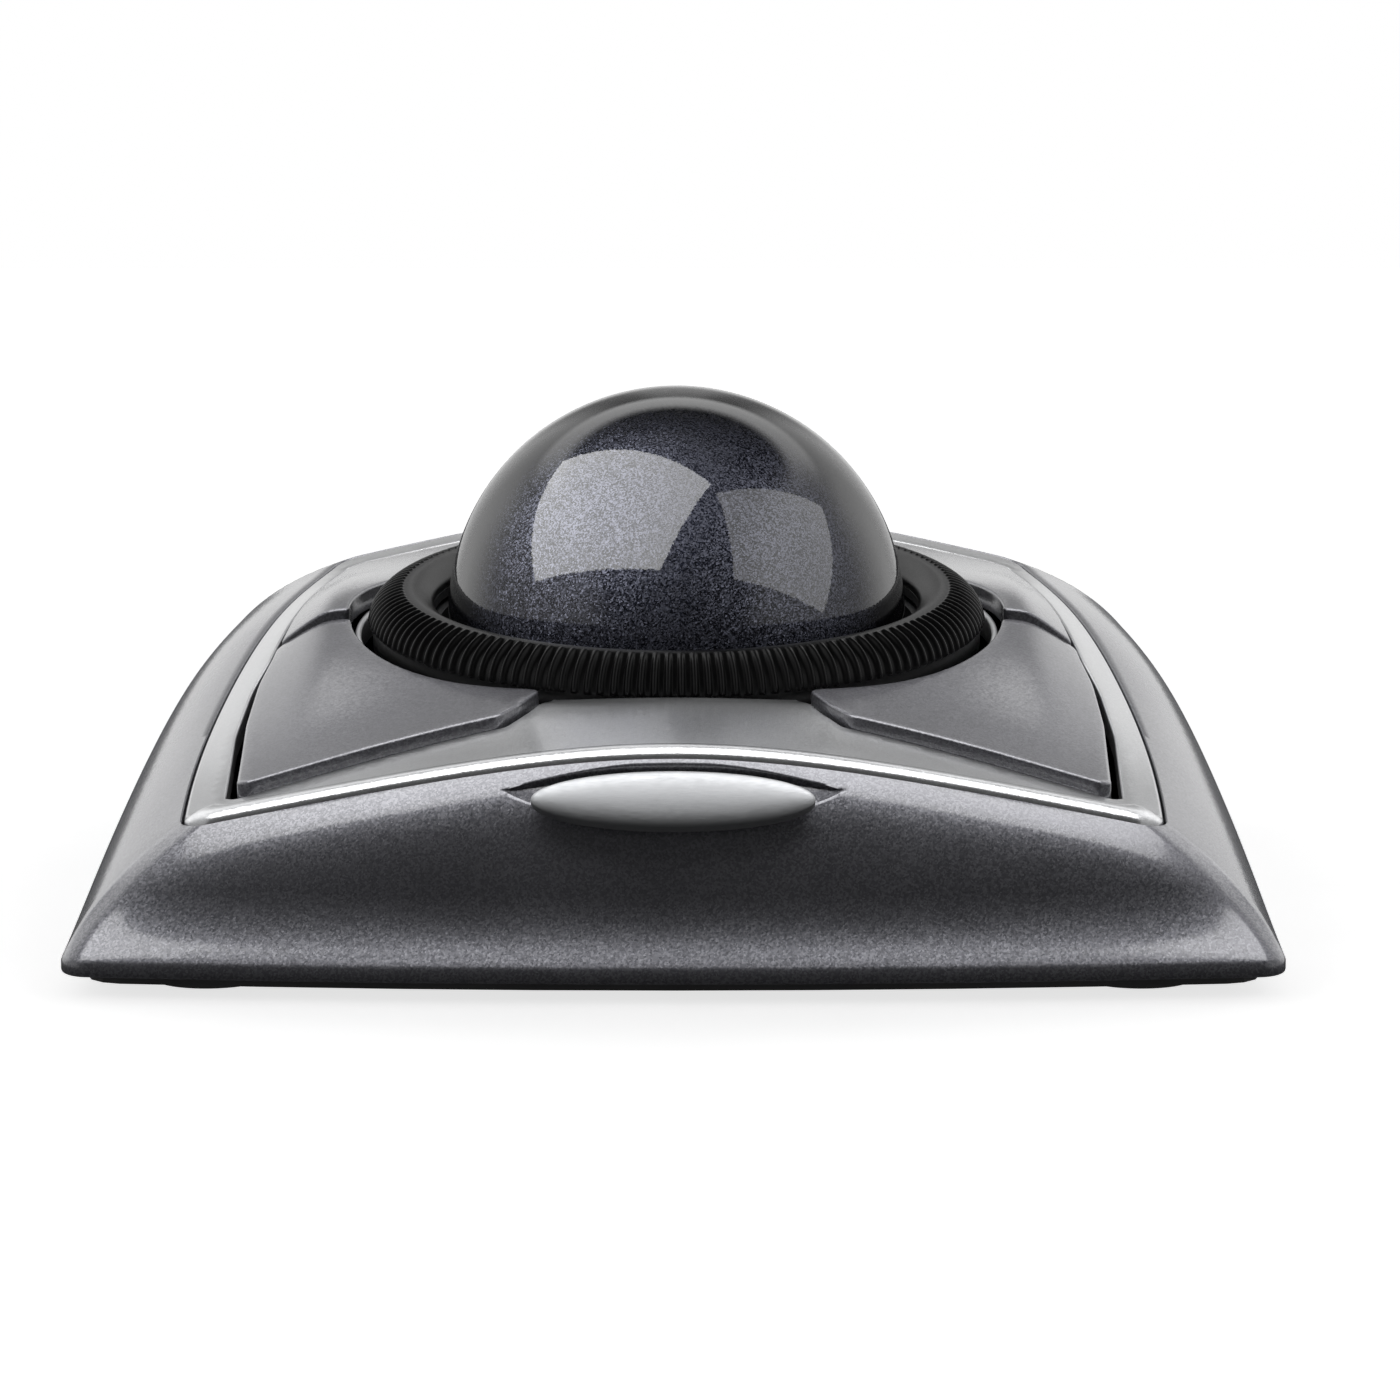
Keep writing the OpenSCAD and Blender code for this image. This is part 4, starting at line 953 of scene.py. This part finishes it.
def build_relief():
    """Strain relief: a flange inside the case, then a rubber sleeve that tapers in rings."""
    low, high = mm_box("strain_relief")
    start, end, centre_z = low[1], high[1], (low[2] + high[2]) / 2
    flange_r, bore_r = (high[2] - low[2]) / 2, CABLE_R + 0.05
    sleeve_r, tip_r = flange_r - FLANGE_STEP, CABLE_R + 0.7
    neck = start + NECK_START
    profile = [(bore_r, start), (flange_r - FLANGE_EDGE, start), (flange_r, start + FLANGE_EDGE),
               (flange_r, start + FLANGE_W - FLANGE_EDGE), (flange_r - FLANGE_EDGE, start + FLANGE_W),
               (sleeve_r, start + FLANGE_W)]
    for t in np.linspace(0, 1, NECK_ROWS):
        sink = RING_DEPTH * (1 - abs(math.cos(t * RELIEF_RINGS * math.pi))) if t < 0.97 else 0.3
        profile.append((sleeve_r + (tip_r - sleeve_r) * t - sink * (1 - 0.3 * t), neck + (end - neck) * t))
    profile += [(tip_r - 0.35, end), (bore_r, end)]
    turned, faces = revolve(profile, RELIEF_STEPS)
    placed = np.stack([turned[:, 0], turned[:, 2], centre_z - turned[:, 1]], 1)
    mesh_piece("strain_relief_ribbed", placed, faces, "case", "cable_rubber", ["strain_relief"], 55)


def build_plug_grip():
    """Moulded plug body: a rounded section that swells from the cable's end, with grooves for the fingers."""
    low, high = mm_box("usb_plug_grip")
    size, centre = high - low, (low + high) / 2
    c, s = np.cos(round_angles(ROUND)), np.sin(round_angles(ROUND))
    neck, full = np.full(2, CABLE_R + 0.9), size[1:] / 2
    rows = []
    for t, scale in PLUG_REAR + [(t, 1) for t in np.linspace(0.05, 0.93, 120)] + PLUG_FRONT:
        swell = smooth((t - 0.1) / 0.22)
        along = (t - GROOVED[0]) / (GROOVED[1] - GROOVED[0])
        wave = max(0.0, -math.cos(along * PLUG_GROOVES * 2 * math.pi)) ** 2 if 0 < along < 1 else 0
        half_y, half_z = (neck + (full - neck) * swell) * scale - GROOVE_DEPTH * wave
        power = 1 - 0.55 * swell
        rows.append(np.stack([np.full(ROUND, low[0] + t * size[0]),
                              centre[1] + np.sign(c) * np.abs(c) ** power * half_y,
                              centre[2] + np.sign(s) * np.abs(s) ** power * half_z], 1))
    ends = [[(low[0], centre[1], centre[2])], [(high[0], centre[1], centre[2])]]
    verts = np.concatenate(rows + ends)
    faces = loop_faces(len(rows), ROUND)
    rear, front, last = len(verts) - 2, len(verts) - 1, (len(rows) - 1) * ROUND
    faces += [(rear, (i + 1) % ROUND, i) for i in range(ROUND)]
    faces += [(front, last + i, last + (i + 1) % ROUND) for i in range(ROUND)]
    mesh_piece("usb_plug_grip_moulded", verts, faces, "case", "cable_rubber", ["usb_plug_grip"], 50)


build_relief()
build_plug_grip()

# ---------------- studio

# The two softboxes that the ball mirrors, as seen from it: degrees to the right of the front, degrees up,
# degrees of lean, then half width and half height at unit distance
WINDOW_LEFT = (-55, 54, 20, 0.91, 0.75)
WINDOW_RIGHT = (66, 34, -29, 0.63, 0.55)
# Directions of the corners of the lamps that light the rest, overhead and beside
OVERHEAD = [(-0.6, -0.5, 0.7), (-0.6, 0.35, 0.7), (0.6, 0.35, 0.7), (0.6, -0.5, 0.7)]
BESIDE = [(1.0, 0.09, 0.1), (1.0, 0.09, 0.8), (0.5, 0.87, 0.8), (0.5, 0.87, 0.1)]
OVERHEAD_GLOW, BESIDE_GLOW = 4.2, 0.55
WINDOW_AWAY = 0.6
LAMP_FILL = 0.8             # side of the rectangular lamp, as a share of its corners' span
LEFT_GLOW, RIGHT_GLOW = 5.4, 1.9
FLOOR_HALF, FLOOR_GLOW = 3.0, 0.8
BACK_LOW, BACK_CENTRE, BACK_MID, BACK_HIGH = 0.85, 0.48, 0.24, 1.6
SIDE_GLOW, SIDE_LOW, SIDE_BACK, TOP_GLOW, FRONT_GLOW = 0.6, 0.55, 1.2, 0.1, 0.04
# The world's glow changes over these ranges of height, of distance aside and of distance ahead
FLOOR_LINE, BAND_START, BAND_END = (0.1, 0.3), (0.52, 0.60), (0.68, 0.78)
SIDE_START, TOP_START = (0.40, 0.62), (0.90, 0.98)
CENTRE_EDGE, MID_EDGE, SIDE_EDGE = (0.04, 0.12), (0.15, 0.35), (0.50, 0.75)
BACK_EDGE, SIDE_BACK_EDGE = (-0.15, 0.2), (0.15, 0.6)


def build_world():
    """Studio that turns with the camera: a backdrop under a bright band, bright sides and a dark front."""
    world = bpy.data.worlds.new("studio")
    bpy.context.scene.world = world
    world.use_nodes = True
    n = Nodes(world.node_tree)
    ahead = n.add("ShaderNodeVectorTransform", Vector=(0, 0, 1))
    ahead.vector_type, ahead.convert_from, ahead.convert_to = "VECTOR", "CAMERA", "WORLD"
    ahead = n.vector("NORMALIZE", n.vector("MULTIPLY", ahead.outputs[0], (1, 1, 0)))
    fx, fy, _ = n.add("ShaderNodeSeparateXYZ", Vector=ahead).outputs
    x, y, z = n.add("ShaderNodeSeparateXYZ", Vector=n.add("ShaderNodeTexCoord").outputs["Generated"]).outputs
    aside = n.math("ABSOLUTE", n.math("SUBTRACT", n.math("MULTIPLY", x, fy), n.math("MULTIPLY", y, fx)))
    depth = n.math("ADD", n.math("MULTIPLY", x, fx), n.math("MULTIPLY", y, fy))

    def pick(factor, low, high):
        return n.add("ShaderNodeMix", i0=factor, i2=low, i3=high).outputs[0]

    def change(value, edge, before, after):
        return pick(n.step(value, *edge), before, after)

    mid = change(aside, CENTRE_EDGE, BACK_CENTRE, change(aside, MID_EDGE, BACK_MID, BACK_LOW))
    low = change(z, FLOOR_LINE, BACK_LOW, mid)
    band = change(z, BAND_START, low, BACK_HIGH)
    backdrop = n.math("MULTIPLY", n.step(z, *BAND_END, 1.0, 0.0), band)
    side = change(z, SIDE_START, change(depth, SIDE_BACK_EDGE, SIDE_LOW, SIDE_BACK), SIDE_GLOW)
    round_about = change(aside, SIDE_EDGE, change(depth, BACK_EDGE, FRONT_GLOW, backdrop), side)
    glow = change(z, TOP_START, round_about, TOP_GLOW)
    seen = n.add("ShaderNodeLightPath").outputs["Is Camera Ray"]
    background = n.add("ShaderNodeBackground", Color=rgb(1, 1, 1), Strength=pick(seen, glow, 1.0))
    out = n.add("ShaderNodeOutputWorld")
    n.tree.links.new(background.outputs[0], out.inputs[0])


def window_corners(turn, lift, lean, half_width, half_height):
    """Directions of the corners of a rectangle that faces the ball."""
    turn, lift, lean = np.radians([turn, lift, lean])
    ahead = np.array([math.cos(lift) * math.sin(turn), -math.cos(lift) * math.cos(turn), math.sin(lift)])
    side = np.array([math.cos(turn), math.sin(turn), 0])
    up = np.cross(ahead, side)
    wide = half_width * (side * math.cos(lean) + up * math.sin(lean))
    tall = half_height * (up * math.cos(lean) - side * math.sin(lean))
    return [ahead - wide - tall, ahead - wide + tall, ahead + wide + tall, ahead + wide - tall]


def build_softbox(name, corners, glow, lit):
    """Flat lamp that lights only the given objects. Its corners lie in given directions from the ball."""
    ways = np.array(corners)
    toward = ways.mean(0) / np.linalg.norm(ways.mean(0))
    places = ways * (WINDOW_AWAY / (ways @ toward))[:, None]
    centre = places.mean(0)
    wide = places[3] + places[2] - places[0] - places[1]
    wide /= np.linalg.norm(wide)
    tall = np.cross(toward, wide)
    spans = [np.ptp((places - centre) @ axis) for axis in (wide, tall)]
    lamp = bpy.data.lights.new(name, "AREA")
    lamp.shape = "RECTANGLE"
    lamp.size, lamp.size_y = (LAMP_FILL * float(s) for s in spans)
    lamp.energy = glow * math.pi * lamp.size * lamp.size_y
    box = bpy.data.objects.new(name, lamp)
    box.location = tuple(centre + np.array([0, 0, BALL_Z * MM]))
    box.rotation_euler = Matrix(np.column_stack([wide, tall, toward]).tolist()).to_euler()
    bpy.context.scene.collection.objects.link(box)
    box.light_linking.receiver_collection = lit
    box.visible_camera = False


def build_softboxes():
    """Two softboxes for the ball, and one overhead and one at each side for everything but ball and ring."""
    ball = bpy.data.objects["trackball_polished"]
    ball_lit = bpy.data.collections.new("ball_lit")
    ball_lit.objects.link(ball)
    case_lit = bpy.data.collections.new("case_lit")
    for piece in bpy.context.scene.objects:
        if piece.type == "MESH" and piece.name not in ("trackball_polished", "ring_grip_ribbed"):
            case_lit.objects.link(piece)
    build_softbox("softbox_left", window_corners(*WINDOW_LEFT), LEFT_GLOW, ball_lit)
    build_softbox("softbox_right", window_corners(*WINDOW_RIGHT), RIGHT_GLOW, ball_lit)
    build_softbox("softbox_top", OVERHEAD, OVERHEAD_GLOW, case_lit)
    build_softbox("softbox_side_right", BESIDE, BESIDE_GLOW, case_lit)
    build_softbox("softbox_side_left", [(-x, y, z) for x, y, z in BESIDE[::-1]], BESIDE_GLOW, case_lit)


def build_floor():
    """White paper that glows a little, and looks dark in reflections."""
    made, n = material("floor_paper")
    tone = n.mix(noise(n, object_point(n), 40), rgb(0.90, 0.90, 0.90), rgb(0.93, 0.93, 0.93))
    paper = n.add("ShaderNodeBsdfPrincipled", Base_Color=tone, Roughness=1.0, Emission_Color=tone,
                  Emission_Strength=FLOOR_GLOW)
    dim = n.add("ShaderNodeBsdfDiffuse", Color=rgb(0.12, 0.12, 0.125))
    glossy = n.add("ShaderNodeLightPath").outputs["Is Glossy Ray"]
    mixed = n.add("ShaderNodeMixShader", i0=glossy, i1=paper.outputs[0], i2=dim.outputs[0])
    out = n.add("ShaderNodeOutputMaterial")
    n.tree.links.new(mixed.outputs[0], out.inputs[0])
    mesh = bpy.data.meshes.new("floor")
    corners = [(-1, -1), (1, -1), (1, 1), (-1, 1)]
    mesh.from_pydata([(u * FLOOR_HALF, v * FLOOR_HALF, 0) for u, v in corners], [], [(0, 1, 2, 3)])
    mesh.materials.append(made)
    floor = bpy.data.objects.new("floor", mesh)
    bpy.context.scene.collection.objects.link(floor)


CAMERA_AWAY = 0.520         # from the ball's centre
CAMERA_UP = math.radians(6.0)
CAMERA_DOWN = math.radians(7.142)
CAMERA_SIDE = 0.00283
LENS, SENSOR = 110.9, 36


def build_camera():
    """Camera a little above the ball's height, looking a little below its centre."""
    lens = bpy.data.cameras.new("camera")
    lens.sensor_width = SENSOR
    lens.lens = LENS
    lens.clip_start = 0.01
    camera = bpy.data.objects.new("camera", lens)
    height = BALL_Z * MM + CAMERA_AWAY * math.sin(CAMERA_UP)
    camera.location = (CAMERA_SIDE, -CAMERA_AWAY * math.cos(CAMERA_UP), height)
    camera.rotation_euler = Euler((math.pi / 2 - CAMERA_DOWN, 0, 0))
    bpy.context.scene.collection.objects.link(camera)
    bpy.context.scene.camera = camera


build_world()
build_softboxes()
build_floor()
build_camera()
bpy.context.scene.view_settings.view_transform = "Standard"
